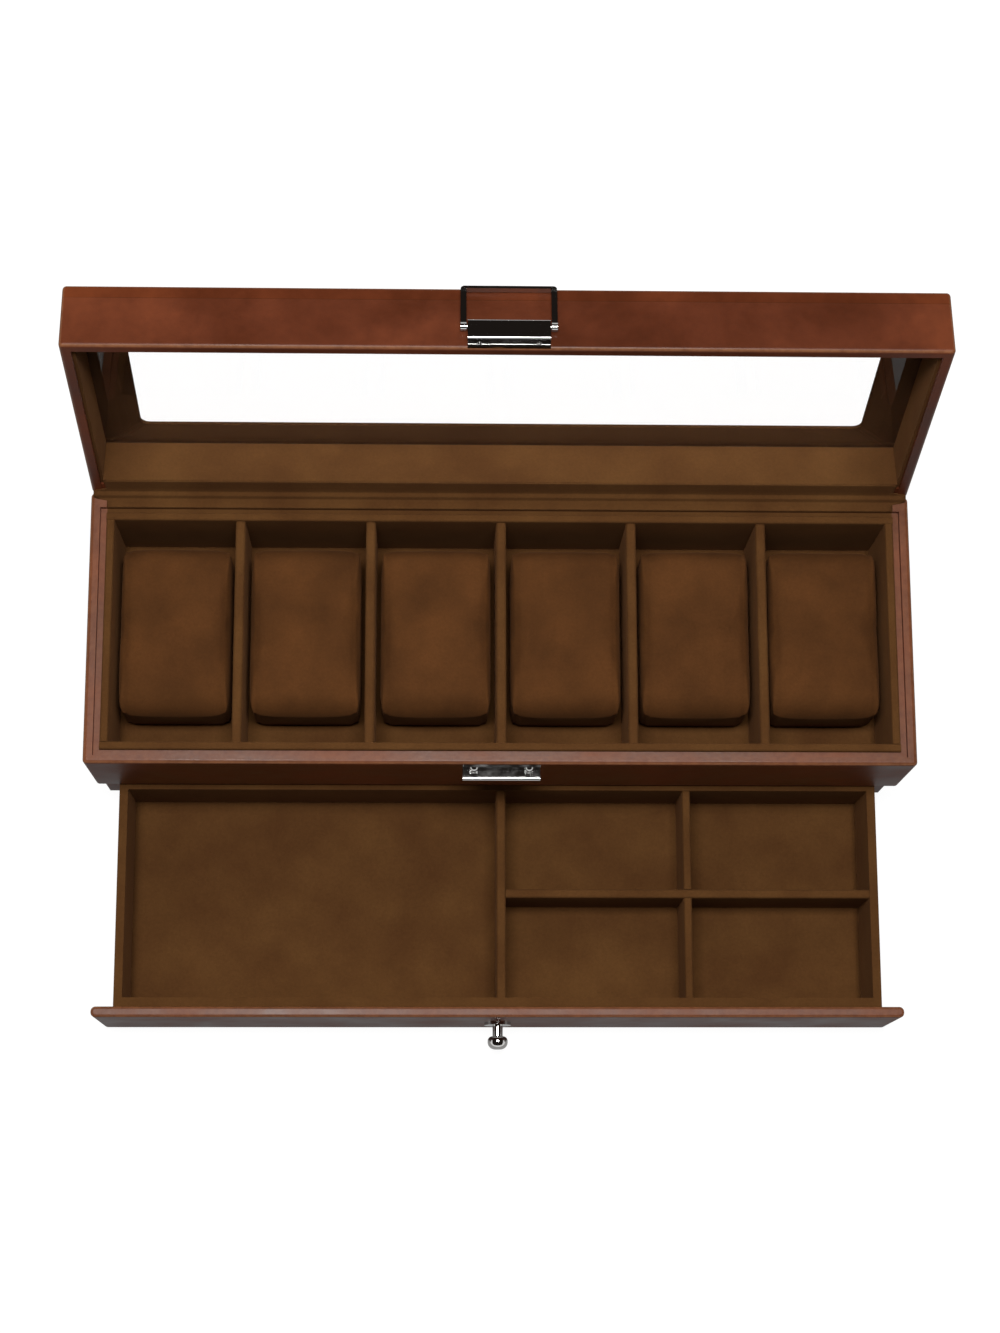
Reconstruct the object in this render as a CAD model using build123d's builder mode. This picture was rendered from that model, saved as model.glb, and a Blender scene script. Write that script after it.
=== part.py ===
from build123d import *
import os
from math import cos, radians, sin

# Watch box with a glazed lid above and a drawer below, in millimetres.
# The origin is the centre of the underside, +Z is up and the drawer opens towards -Y.
# The box is drawn as it stands in use: lid open, clasp loop laid back, drawer pulled out.

# Case, measured over its leather
CASE_W = 335.0
CASE_D = 112.0
CASE_H = 95.0
EDGE_R = 1.6
SIDE_T = 6.5
FRONT_T = 5.8
BACK_T = 3.5
BACK_RAIL_T = 4.2
BASE_T = 4.0
BAY_H = 49.0
SHELF_T = 3.5
CARCASS_SETBACK = 6.0

# Groove that runs round the inside of the rim
GROOVE_DEPTH = 2.5
SIDE_GROOVE_W = 2.6
FRONT_GROOVE_W = 2.5
BACK_GROOVE_W = 1.9

# Tray for the cushions
LINER_T = 3.25
LINER_SINK = 0.5
LINER_R = 0.9
TRAY_LINING_T = 1.0
DIVIDER_T = 4.0
DIVIDER_SINK = 2.0
DIVIDER_R = 1.3
SPACES = 6

# Cushions
CUSHION_H = 32.5
CUSHION_SIDE_GAP = 2.1
CUSHION_BACK_GAP = 7.0
CUSHION_FRONT_GAP = 13.5
CUSHION_SEAT = 0.2
CUSHION_TUCK = 2.0
CUSHION_SHOULDER = 2.4
CUSHION_SHOULDER_LEVEL = 0.87
CUSHION_BELLY_LEVEL = 0.45
CUSHION_EDGE_R = 4.5
CUSHION_END_DROP = 2.8
CUSHION_END_DRAW = 1.2
CUSHION_STATIONS = (-1.0, -0.62, 0.0, 0.62, 1.0)
CUSHION_SWELL_POWER = 3

# Drawer
DRAWER_HOLD = 4.2
DRAWER_STOP_GAP = 0.3
DRAWER_RECESS = 1.5
DRAWER_FRONT_STEP = 0.5
DRAWER_FRONT_T = 4.4
DRAWER_FRONT_BOTTOM = 0.6
DRAWER_FRONT_GAP = 0.7
DRAWER_EDGE_R = 1.2
DRAWER_END_R = 2.0
GUIDE_T = 2.5
DRAWER_SIDE_GAP = 0.5
DRAWER_RUN_GAP = 0.4
DRAWER_HEAD_GAP = 2.5
DRAWER_SIDE_T = 3.5
DRAWER_FRONT_WALL_T = 3.8
DRAWER_BACK_T = 3.5
DRAWER_TAIL = 8.5
DRAWER_BOTTOM_RISE = 6.0
DRAWER_BOTTOM_T = 3.0
DRAWER_LINING_T = 2.6
DRAWER_DIVIDER_SINK = 1.0
DRAWER_DIVIDER_R = 1.0
MIDDLE_DIVIDER_X = 1.0
MIDDLE_DIVIDER_T = 3.8
RIGHT_DIVIDER_T = 3.3
CROSS_DIVIDER_T = 3.6
HALVING_GAP = 0.1

# Drawer knob and its screw
KNOB_L = 11.2
KNOB_HEAD_R = 4.2
KNOB_HEAD_L = 5.4
KNOB_STEM_R = 2.15
KNOB_FOOT_R = 5.6
KNOB_FOOT_T = 1.2
KNOB_BACK_R = 1.9
KNOB_NOSE_R = 3.0
KNOB_FOOT_CHAMFER = 0.9
KNOB_SCREW_R = 1.4
KNOB_SCREW_BITE = 5.0
KNOB_SCREW_HEAD_R = 2.8
KNOB_SCREW_HEAD_T = 1.6
HOLE_GAP = 0.1

# Lid, measured over its leather
LID_OPEN = 102.3
LID_SIDE_STEP = 0.5
LID_H = 26.8
LID_WALL_T = 4.2
LID_BACK_T = 6.6
LID_TOP_T = 5.6
RIM_GAP = 0.3
WINDOW_SIDE = 21.0
WINDOW_BACK = 21.4
WINDOW_FRONT = 21.0
WINDOW_R = 3.5
WINDOW_EDGE_T = 1.3
WINDOW_SPLAY = 7.5
GLASS_T = 2.0
GLASS_GAP = 0.15
LID_LINING_T = 1.2
LID_LINING_SINK = 1.5
BACK_LINING_RIM_T = 3.4
BACK_LINING_DEEP_T = 1.2

# Hinges, hidden under a strip of cloth on each side of the joint
HINGE_END_GAP = 0.5
HINGE_W = 22.0
BARREL_R = 1.2
HINGE_PIN_R = 0.5
HINGE_PIN_FIT = 0.05
PIN_HEAD_R = 1.0
PIN_HEAD_L = 2.5
PIN_HEAD_GAP = 0.25
PIN_NECK = 1.3
LEAF_T = 0.8
LEAF_L = 5.5
KNUCKLES = 3
KNUCKLE_GAP = 0.2
BARREL_GAP = 0.12
HINGE_EDGE_R = 2.5
HINGE_CORNER_R = 0.4
LEAF_SCREW_SPACING = 12.0
LEAF_SCREW_REACH = 4.3
LEAF_SCREW_R = 0.6
LEAF_SCREW_HEAD_R = 1.0
LEAF_SCREW_HEAD_T = 0.6
LEAF_SCREW_L = 5.0
CLOTH_T = 0.5
CLOTH_END_GAP = 1.0
CASE_CLOTH_END_R = 1.8
LID_CLOTH_REACH = 10.0
LID_CLOTH_END_R = 3.5

# Clasp on the lid
SHEET_T = 0.8
CLASP_W = 30.9
CLASP_PIVOT_H = 8.5
CLASP_PIVOT_PROUD = 1.9
CLASP_FLANGE_LOW = 0.3
CLASP_BLOCK_LOW = 2.7
CLASP_BLOCK_HIGH = 11.0
CLASP_BLOCK_PROUD = 3.3
CLASP_BLOCK_R = 0.7
CLASP_PIN_R = 0.55
CLASP_PIN_FIT = 0.05
CLASP_SCREW_H = 1.5
CLASP_DOME_R = 1.0
CLASP_DOME_H = 0.8
CLASP_SHANK_R = 0.5

# Clasp loop
LOOP_W = 36.2
LOOP_BAR_W = 2.2
LOOP_REACH = 16.0
LOOP_FLANGE_T = 1.1
LOOP_FLANGE_H = 2.8
LOOP_EYE_R = 1.6
LOOP_CORNER_R = 1.5

# Catch on the case
CATCH_W = 31.2
CATCH_TOP_SINK = 0.7
CATCH_LIP_DROP = 5.5
CATCH_PLATE_T = 1.0
CATCH_ROLL_R = 1.05
CATCH_LIP_L = 5.8
CATCH_CORNER_R = 0.5
CATCH_SCREW_DROP = 3.1
CATCH_DOME_R = 1.9
CATCH_DOME_H = 1.7
CATCH_SHANK_R = 0.9

# What the dome screws of the clasp and the catch have in common
DOME_SPACING = 22.2
DOME_RIM_T = 0.3
DOME_SHANK_L = 3.0
CROSS_L_SHARE = 1.1
CROSS_W_SHARE = 0.24
CROSS_DEPTH = 0.4

# Levels and places that follow from the sizes above
FRONT_Y = -CASE_D / 2
BACK_Y = CASE_D / 2
CASE_X = CASE_W / 2
BOARD_X = CASE_X - SIDE_T
BAY_BACK_Y = BACK_Y - BACK_T
RAIL_INNER_Y = FRONT_Y + FRONT_T
BACK_RAIL_Y = BAY_BACK_Y - BACK_RAIL_T
CARCASS_FRONT_Y = FRONT_Y + CARCASS_SETBACK
GROOVE_Z = CASE_H - GROOVE_DEPTH
GROOVE_X = BOARD_X + SIDE_GROOVE_W
GROOVE_FRONT_Y = RAIL_INNER_Y - FRONT_GROOVE_W
GROOVE_BACK_Y = BACK_RAIL_Y + BACK_GROOVE_W
LEDGE_Z = CASE_H - CLOTH_T
SHELF_TOP_Z = BAY_H + SHELF_T
TRAY_FLOOR_Z = SHELF_TOP_Z + TRAY_LINING_T
LINER_TOP_Z = CASE_H - LINER_SINK
TRAY_X = BOARD_X - LINER_T
TRAY_FRONT_Y = RAIL_INNER_Y + LINER_T
TRAY_BACK_Y = BACK_RAIL_Y - LINER_T
SPACE_W = (2 * TRAY_X - (SPACES - 1) * DIVIDER_T) / SPACES
SPACE_PITCH = SPACE_W + DIVIDER_T
CUSHION_W = SPACE_W - 2 * CUSHION_SIDE_GAP
CUSHION_L = TRAY_BACK_Y - CUSHION_BACK_GAP - TRAY_FRONT_Y - CUSHION_FRONT_GAP

# The drawer fills the bay when it is shut, and is drawn here pulled out by its travel
SHUT_TAIL_Y = BAY_BACK_Y - DRAWER_STOP_GAP
SHUT_INNER_Y = FRONT_Y + DRAWER_RECESS + DRAWER_FRONT_T + DRAWER_FRONT_WALL_T
DRAWER_INNER_D = SHUT_TAIL_Y - DRAWER_TAIL - DRAWER_BACK_T - SHUT_INNER_Y
DRAWER_TRAVEL = SHUT_TAIL_Y - CARCASS_FRONT_Y - DRAWER_HOLD
DRAWER_FRONT_W = CASE_W - 2 * DRAWER_FRONT_STEP
DRAWER_Y = FRONT_Y + DRAWER_RECESS - DRAWER_TRAVEL
DRAWER_BOX_Y = DRAWER_Y + DRAWER_FRONT_T
DRAWER_INNER_Y = DRAWER_BOX_Y + DRAWER_FRONT_WALL_T
DRAWER_INNER_BACK_Y = DRAWER_INNER_Y + DRAWER_INNER_D
DRAWER_BACK_Y = DRAWER_INNER_BACK_Y + DRAWER_BACK_T
DRAWER_TAIL_Y = DRAWER_BACK_Y + DRAWER_TAIL
DRAWER_X = BOARD_X - GUIDE_T - DRAWER_SIDE_GAP
DRAWER_INNER_X = DRAWER_X - DRAWER_SIDE_T
DRAWER_LOW_Z = BASE_T + DRAWER_RUN_GAP
DRAWER_TOP_Z = BAY_H - DRAWER_HEAD_GAP
DRAWER_BOTTOM_Z = DRAWER_LOW_Z + DRAWER_BOTTOM_RISE
DRAWER_LINING_Z = DRAWER_BOTTOM_Z + DRAWER_BOTTOM_T
DRAWER_FLOOR_Z = DRAWER_LINING_Z + DRAWER_LINING_T
DRAWER_DIVIDER_Z = DRAWER_TOP_Z - DRAWER_DIVIDER_SINK
DRAWER_FRONT_TOP = BAY_H - DRAWER_FRONT_GAP
KNOB_Z = (DRAWER_FRONT_BOTTOM + DRAWER_FRONT_TOP) / 2
MIDDLE_DIVIDER_LEFT_X = MIDDLE_DIVIDER_X - MIDDLE_DIVIDER_T / 2
MIDDLE_DIVIDER_RIGHT_X = MIDDLE_DIVIDER_X + MIDDLE_DIVIDER_T / 2
RIGHT_DIVIDER_X = (MIDDLE_DIVIDER_RIGHT_X + DRAWER_INNER_X) / 2
CROSS_DIVIDER_Y = (DRAWER_INNER_Y + DRAWER_INNER_BACK_Y) / 2
HALVING_Z = (DRAWER_FLOOR_Z + DRAWER_DIVIDER_Z) / 2

# The lid has its own frame: x to the right, u from the hinge to the front, w from the rim up
HINGE_Y = BACK_Y
HINGE_Z = CASE_H + RIM_GAP / 2
LID_UP = Vector(0, sin(radians(LID_OPEN)), cos(radians(LID_OPEN)))
LID_OUT = Vector(0, -cos(radians(LID_OPEN)), sin(radians(LID_OPEN)))
HINGE_PLANE = Plane(origin=(0, HINGE_Y, HINGE_Z), x_dir=(1, 0, 0), z_dir=LID_UP)
RIM_PLANE = HINGE_PLANE.offset(RIM_GAP / 2)
U_AXIS = Axis(RIM_PLANE.origin, LID_OUT)
W_AXIS = Axis(RIM_PLANE.origin, LID_UP)
LID_W = CASE_W - 2 * LID_SIDE_STEP
LID_D = CASE_D
LID_X = LID_W / 2
LID_INNER_X = LID_X - LID_WALL_T
LID_INNER_U = LID_D - LID_WALL_T
LID_TOP_W = LID_H - LID_TOP_T
GLASS_W = LID_TOP_W - GLASS_T
WINDOW_FAR_U = LID_D - WINDOW_FRONT
WINDOW_U = (WINDOW_BACK + WINDOW_FAR_U) / 2
WINDOW_W = LID_W - 2 * WINDOW_SIDE
WINDOW_D = WINDOW_FAR_U - WINDOW_BACK

# Hinge leaves lie below the cloth, a little clear of the other leaf's knuckles
LEAF_LEVEL = RIM_GAP / 2 + CLOTH_T
BARREL_CUT_R = BARREL_R + BARREL_GAP
CLOTH_W = 2 * (BOARD_X - CLOTH_END_GAP)
HINGE_END_X = BOARD_X - HINGE_END_GAP
HINGE_CENTRE_X = HINGE_END_X - HINGE_W / 2
PIN_HEAD_X = HINGE_END_X + PIN_NECK
PIN_END_X = PIN_HEAD_X + PIN_HEAD_L
KNUCKLE_W = (HINGE_W - (KNUCKLES - 1) * KNUCKLE_GAP) / KNUCKLES
KNUCKLE_PITCH = KNUCKLE_W + KNUCKLE_GAP
DOWN = Vector(0, 0, -1)
FORWARD = Vector(0, -1, 0)


def save(piece, name):
    """Label a finished piece and write it to its own file."""
    piece.part.label = name
    export_step(piece.part, f"parts/{name}.step")


def board(left, right, front, back, bottom, top):
    """A square-edged board between six faces of the case frame."""
    with BuildPart() as piece:
        with BuildSketch(Plane.XY.offset(bottom)):
            with Locations(((left + right) / 2, (front + back) / 2)):
                Rectangle(right - left, back - front)
        extrude(amount=top - bottom)
    return piece


def padded_board(left, right, front, back, bottom, top, rounding, along):
    """A cloth-covered board whose two long upper edges are rounded."""
    with BuildPart() as piece:
        with BuildSketch(Plane.XY.offset(bottom)):
            with Locations(((left + right) / 2, (front + back) / 2)):
                Rectangle(right - left, back - front)
        extrude(amount=top - bottom)
        fillet(piece.edges().filter_by(along).group_by(Axis.Z)[-1], rounding)
    return piece


def lid_board(left, right, near, far, low, high):
    """A square-edged board of the lid, between two distances from the hinge."""
    with BuildPart() as piece:
        with BuildSketch(RIM_PLANE.offset(low)):
            with Locations(((left + right) / 2, -(near + far) / 2)):
                Rectangle(right - left, far - near)
        extrude(amount=high - low)
    return piece


def lid_section(x):
    """The plane across the lid at x, with u to its right and w up it."""
    origin = RIM_PLANE.from_local_coords((x, 0, 0))
    return Plane(origin=origin, x_dir=LID_OUT, z_dir=(-1, 0, 0))


def hinge_section(x, leaf_out, leaf_in):
    """The plane across a hinge at x: along the leaf to its right, into the board up it."""
    return Plane(origin=(x, HINGE_Y, HINGE_Z), x_dir=leaf_out, z_dir=leaf_out.cross(leaf_in))


def case_face(x, proud, drop):
    """The seat that lies proud of the case front, at a drop below the rim, looking forwards."""
    return Plane(origin=(x, FRONT_Y - proud, CASE_H - drop), x_dir=(1, 0, 0), z_dir=FORWARD)


def lid_face(x, proud, height):
    """The seat that lies proud of the lid front, at a height over its rim, looking outwards."""
    origin = RIM_PLANE.from_local_coords((x, -(LID_D + proud), height))
    return Plane(origin=origin, x_dir=(1, 0, 0), z_dir=LID_OUT)


def leaf_seats(leaf_out, leaf_in):
    """The seats of the screws of both hinge leaves of one kind."""
    seats = []
    for side in (-1, 1):
        for step in (-1, 1):
            x = side * HINGE_CENTRE_X + step * LEAF_SCREW_SPACING / 2
            across = hinge_section(x, leaf_out, leaf_in)
            origin = across.from_local_coords((LEAF_SCREW_REACH, LEAF_LEVEL, 0))
            seats.append(Plane(origin=origin, x_dir=(1, 0, 0), z_dir=-leaf_in))
    return seats


def axial_plane(seat):
    """The plane through the axis of a seat, with the radius to its right and the axis up it."""
    return Plane(origin=seat.origin, x_dir=seat.x_dir, z_dir=-seat.y_dir)


CATCH_SEATS = [
    case_face(side * DOME_SPACING / 2, CATCH_PLATE_T, CATCH_SCREW_DROP) for side in (-1, 1)
]
CLASP_SEATS = [lid_face(side * DOME_SPACING / 2, SHEET_T, CLASP_SCREW_H) for side in (-1, 1)]
CASE_LEAF_SEATS = leaf_seats(FORWARD, DOWN)
LID_LEAF_SEATS = leaf_seats(LID_OUT, LID_UP)
KNOB_SEAT = Plane(origin=(0, DRAWER_Y, KNOB_Z), x_dir=(1, 0, 0), z_dir=FORWARD)
KNOB_SCREW_SEAT = Plane(origin=(0, DRAWER_INNER_Y, KNOB_Z), x_dir=(-1, 0, 0), z_dir=(0, 1, 0))


# Case boards

def side_panel(side):
    """A side board, cut back in front of the drawer bay and grooved along its inner rim."""
    with BuildPart() as panel:
        with BuildSketch(Plane.YZ.offset(side * BOARD_X)):
            with BuildLine():
                Polyline(
                    (CARCASS_FRONT_Y, 0),
                    (BACK_Y, 0),
                    (BACK_Y, CASE_H),
                    (FRONT_Y, CASE_H),
                    (FRONT_Y, BAY_H),
                    (CARCASS_FRONT_Y, BAY_H),
                    close=True,
                )
            make_face()
        extrude(amount=side * SIDE_T)
        outer_face = panel.faces().sort_by(Axis.X)[0 if side < 0 else -1]
        uprights = outer_face.edges().filter_by(Axis.Z)
        corners = uprights.group_by(Axis.Y)[0] + uprights.group_by(Axis.Y)[-1]
        rim_front = panel.edges().filter_by(Axis.X).group_by(Axis.Z)[-1].sort_by(Axis.Y)[0]
        rim_outer = outer_face.edges().filter_by(Axis.Y).group_by(Axis.Z)[-1]
        fillet(corners + rim_outer + [rim_front], EDGE_R)
        fillet(panel.edges().filter_by(Axis.X).group_by(Axis.Z)[-1].sort_by(Axis.Y)[-1], HINGE_CORNER_R)
        with BuildSketch(Plane.XY.offset(GROOVE_Z)):
            with Locations((side * (BOARD_X + GROOVE_X) / 2, (GROOVE_FRONT_Y + GROOVE_BACK_Y) / 2)):
                Rectangle(SIDE_GROOVE_W, GROOVE_BACK_Y - GROOVE_FRONT_Y)
        extrude(amount=GROOVE_DEPTH, mode=Mode.SUBTRACT)
        with BuildSketch(Plane.YZ.offset(side * BOARD_X)):
            with Locations((HINGE_Y, HINGE_Z)):
                Circle(PIN_HEAD_R + PIN_HEAD_GAP)
        extrude(amount=side * (PIN_END_X + PIN_HEAD_GAP - BOARD_X), mode=Mode.SUBTRACT)
    return panel


def back_panel():
    """The back board, rounded at its top edge and let in for the hinge leaves."""
    with BuildPart() as panel:
        with BuildSketch():
            with Locations((0, (BAY_BACK_Y + BACK_Y) / 2)):
                Rectangle(2 * BOARD_X, BACK_T)
        extrude(amount=LEDGE_Z)
        fillet(panel.edges().filter_by(Axis.X).group_by(Axis.Z)[-1].sort_by(Axis.Y)[-1], HINGE_EDGE_R)
        with BuildSketch(Plane.XY.offset(LEDGE_Z - LEAF_T)):
            with GridLocations(2 * HINGE_CENTRE_X, 0, 2, 1):
                with Locations((0, BAY_BACK_Y)):
                    Rectangle(HINGE_W, BACK_T, align=(Align.CENTER, Align.MIN))
        extrude(amount=LEAF_T, mode=Mode.SUBTRACT)
    return panel


def back_rail():
    """The inner board of the back, grooved, let in for the leaves and drilled for their screws."""
    with BuildPart() as rail:
        with BuildSketch(Plane.XY.offset(SHELF_TOP_Z)):
            with Locations((0, (BACK_RAIL_Y + BAY_BACK_Y) / 2)):
                Rectangle(2 * BOARD_X, BACK_RAIL_T)
        extrude(amount=LEDGE_Z - SHELF_TOP_Z)
        with BuildSketch(Plane.XY.offset(GROOVE_Z)):
            with Locations((0, (BACK_RAIL_Y + GROOVE_BACK_Y) / 2)):
                Rectangle(2 * BOARD_X, BACK_GROOVE_W)
        extrude(amount=GROOVE_DEPTH, mode=Mode.SUBTRACT)
        with BuildSketch(Plane.XY.offset(LEDGE_Z - LEAF_T)):
            with GridLocations(2 * HINGE_CENTRE_X, 0, 2, 1):
                with Locations((0, HINGE_Y - LEAF_L)):
                    Rectangle(HINGE_W, LEAF_L, align=(Align.CENTER, Align.MIN))
        extrude(amount=LEAF_T, mode=Mode.SUBTRACT)
        with Locations(*CASE_LEAF_SEATS):
            Hole(LEAF_SCREW_R, LEAF_SCREW_L)
    return rail


def front_rail():
    """The board over the drawer, grooved inside its rim and drilled for the catch."""
    with BuildPart() as rail:
        with BuildSketch(Plane.XY.offset(BAY_H)):
            with Locations((0, (FRONT_Y + RAIL_INNER_Y) / 2)):
                Rectangle(2 * BOARD_X, FRONT_T)
        extrude(amount=CASE_H - BAY_H)
        fillet(rail.edges().filter_by(Axis.X).group_by(Axis.Z)[-1].sort_by(Axis.Y)[0], EDGE_R)
        with BuildSketch(Plane.XY.offset(GROOVE_Z)):
            with Locations((0, (GROOVE_FRONT_Y + RAIL_INNER_Y) / 2)):
                Rectangle(2 * BOARD_X, FRONT_GROOVE_W)
        extrude(amount=GROOVE_DEPTH, mode=Mode.SUBTRACT)
        with Locations(*CATCH_SEATS):
            Hole(CATCH_SHANK_R, CATCH_PLATE_T + DOME_SHANK_L)
    return rail


# Tray

def divider(number):
    """One of the upright boards between the cushions, counted from the left."""
    left = -TRAY_X + number * SPACE_PITCH - DIVIDER_T
    top = CASE_H - DIVIDER_SINK
    return padded_board(
        left, left + DIVIDER_T, TRAY_FRONT_Y, TRAY_BACK_Y, TRAY_FLOOR_Z, top, DIVIDER_R, Axis.Y
    )


def cushion(number):
    """A watch cushion: flat below, bellied front and back, crowned, and drawn in at its ends."""
    centre_x = -TRAY_X + (number - 1) * SPACE_PITCH + SPACE_W / 2
    centre_y = TRAY_BACK_Y - CUSHION_BACK_GAP - CUSHION_L / 2
    floor = TRAY_FLOOR_Z + CUSHION_SEAT
    with BuildPart() as pillow:
        for station in CUSHION_STATIONS:
            pinch = abs(station) ** CUSHION_SWELL_POWER
            half = CUSHION_L / 2 - CUSHION_END_DRAW * pinch
            height = CUSHION_H - CUSHION_END_DROP * pinch
            shoulder = floor + height * CUSHION_SHOULDER_LEVEL
            belly = floor + height * CUSHION_BELLY_LEVEL
            foot = half - CUSHION_TUCK
            neck = half - CUSHION_SHOULDER
            with BuildSketch(Plane.YZ.offset(centre_x + station * CUSHION_W / 2)) as outline:
                with BuildLine():
                    Line((centre_y - foot, floor), (centre_y + foot, floor))
                    ThreePointArc(
                        (centre_y + foot, floor), (centre_y + half, belly), (centre_y + neck, shoulder)
                    )
                    ThreePointArc(
                        (centre_y + neck, shoulder),
                        (centre_y, floor + height),
                        (centre_y - neck, shoulder),
                    )
                    ThreePointArc(
                        (centre_y - neck, shoulder), (centre_y - half, belly), (centre_y - foot, floor)
                    )
                make_face()
                fillet(outline.vertices().group_by(Axis.Y)[-1], CUSHION_EDGE_R)
        loft()
    return pillow


# Hinges

def hinge_leaves(leaf_out, leaf_in, knuckle_steps, seats):
    """Both hinge leaves of one kind, each a countersunk plate with its knuckles."""
    with BuildPart() as leaves:
        for side in (-1, 1):
            across = hinge_section(side * HINGE_CENTRE_X, leaf_out, leaf_in)
            with BuildSketch(across):
                with Locations(((BARREL_CUT_R + LEAF_L) / 2, LEAF_LEVEL + LEAF_T / 2)):
                    Rectangle(LEAF_L - BARREL_CUT_R, LEAF_T)
            extrude(amount=HINGE_W / 2, both=True)
            for step in knuckle_steps:
                with BuildSketch(across.offset(step * KNUCKLE_PITCH)):
                    Circle(BARREL_R)
                    with Locations((BARREL_CUT_R / 2, LEAF_LEVEL + LEAF_T / 2)):
                        Rectangle(BARREL_CUT_R, LEAF_T)
                extrude(amount=KNUCKLE_W / 2, both=True)
            with BuildSketch(across):
                Circle(HINGE_PIN_R + HINGE_PIN_FIT)
            extrude(amount=HINGE_W / 2, both=True, mode=Mode.SUBTRACT)
        for seat in seats:
            with BuildSketch(seat):
                Circle(LEAF_SCREW_HEAD_R)
            with BuildSketch(seat.offset(-LEAF_SCREW_HEAD_T)):
                Circle(LEAF_SCREW_R)
            loft(mode=Mode.SUBTRACT)
        with Locations(*seats):
            Hole(LEAF_SCREW_R, LEAF_T)
    return leaves


def leaf_screws(seats):
    """Countersunk screws, flush with their leaves."""
    with BuildPart() as screws:
        for seat in seats:
            with BuildSketch(axial_plane(seat)):
                with BuildLine():
                    Polyline(
                        (0, 0),
                        (LEAF_SCREW_HEAD_R, 0),
                        (LEAF_SCREW_R, -LEAF_SCREW_HEAD_T),
                        (LEAF_SCREW_R, -LEAF_SCREW_L),
                        (0, -LEAF_SCREW_L),
                        close=True,
                    )
                make_face()
            revolve(axis=Axis(seat.origin, seat.z_dir))
    return screws


def hinge_pins():
    """The two hinge pins, each with a head that shows past the end of the cloth."""
    with BuildPart() as pins:
        for side in (-1, 1):
            start = HINGE_CENTRE_X - HINGE_W / 2
            with BuildSketch(Plane.YZ.offset(side * start)):
                with Locations((HINGE_Y, HINGE_Z)):
                    Circle(HINGE_PIN_R)
            extrude(amount=side * (PIN_END_X - start))
            with BuildSketch(Plane.YZ.offset(side * PIN_HEAD_X)):
                with Locations((HINGE_Y, HINGE_Z)):
                    Circle(PIN_HEAD_R)
            extrude(amount=side * PIN_HEAD_L)
    return pins


def case_hinge_cloth():
    """The strip of cloth on the back rim of the case."""
    front = GROOVE_BACK_Y
    back = HINGE_Y - BARREL_CUT_R
    with BuildPart() as cloth:
        with BuildSketch(Plane.XY.offset(LEDGE_Z)):
            with Locations((0, (front + back) / 2)):
                RectangleRounded(CLOTH_W, back - front, CASE_CLOTH_END_R)
        extrude(amount=CLOTH_T)
    return cloth


def lid_hinge_cloth():
    """The strip of cloth on the back rim of the lid."""
    with BuildPart() as cloth:
        with BuildSketch(RIM_PLANE):
            with Locations((0, -(BARREL_CUT_R + LID_CLOTH_REACH) / 2)):
                RectangleRounded(CLOTH_W, LID_CLOTH_REACH - BARREL_CUT_R, LID_CLOTH_END_R)
        extrude(amount=CLOTH_T)
    return cloth


# Lid

def lid_side_wall(side):
    """A side wall of the lid, rounded outside and let in for the pin head."""
    with BuildPart() as wall:
        with BuildSketch(RIM_PLANE):
            with Locations((side * (LID_INNER_X + LID_X) / 2, -LID_D / 2)):
                Rectangle(LID_WALL_T, LID_D)
        extrude(amount=LID_TOP_W)
        outer_face = wall.faces().sort_by(Axis.X)[0 if side < 0 else -1]
        corners = outer_face.edges().filter_by(W_AXIS)
        rim_front = wall.edges().filter_by(Axis.X).group_by(W_AXIS)[0].sort_by(U_AXIS)[-1]
        rim_outer = outer_face.edges().filter_by(U_AXIS).group_by(W_AXIS)[0]
        fillet(corners + rim_outer + [rim_front], EDGE_R)
        fillet(wall.edges().filter_by(Axis.X).group_by(W_AXIS)[0].sort_by(U_AXIS)[0], HINGE_CORNER_R)
        with BuildSketch(Plane.YZ.offset(side * LID_INNER_X)):
            with Locations((HINGE_Y, HINGE_Z)):
                Circle(PIN_HEAD_R + PIN_HEAD_GAP)
        extrude(amount=side * (PIN_END_X + PIN_HEAD_GAP - LID_INNER_X), mode=Mode.SUBTRACT)
    return wall


def lid_front_wall():
    """The front wall of the lid, drilled for the clasp."""
    with BuildPart() as wall:
        with BuildSketch(RIM_PLANE):
            with Locations((0, -(LID_INNER_U + LID_D) / 2)):
                Rectangle(2 * LID_INNER_X, LID_WALL_T)
        extrude(amount=LID_TOP_W)
        fillet(wall.edges().filter_by(Axis.X).group_by(W_AXIS)[0].sort_by(U_AXIS)[-1], EDGE_R)
        with Locations(*CLASP_SEATS):
            Hole(CLASP_SHANK_R, SHEET_T + DOME_SHANK_L)
    return wall


def lid_back_wall():
    """The back wall of the lid, rounded at the hinge and let in for the leaves."""
    with BuildPart() as wall:
        with BuildSketch(RIM_PLANE.offset(CLOTH_T)):
            with Locations((0, -LID_BACK_T / 2)):
                Rectangle(2 * LID_INNER_X, LID_BACK_T)
        extrude(amount=LID_TOP_W - CLOTH_T)
        fillet(wall.edges().filter_by(Axis.X).group_by(W_AXIS)[0].sort_by(U_AXIS)[0], HINGE_EDGE_R)
        with BuildSketch(RIM_PLANE.offset(CLOTH_T)):
            with GridLocations(2 * HINGE_CENTRE_X, 0, 2, 1):
                with Locations((0, -LEAF_L)):
                    Rectangle(HINGE_W, LEAF_L, align=(Align.CENTER, Align.MIN))
        extrude(amount=LEAF_T, mode=Mode.SUBTRACT)
        with Locations(*LID_LEAF_SEATS):
            Hole(LEAF_SCREW_R, LEAF_SCREW_L)
    return wall


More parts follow.
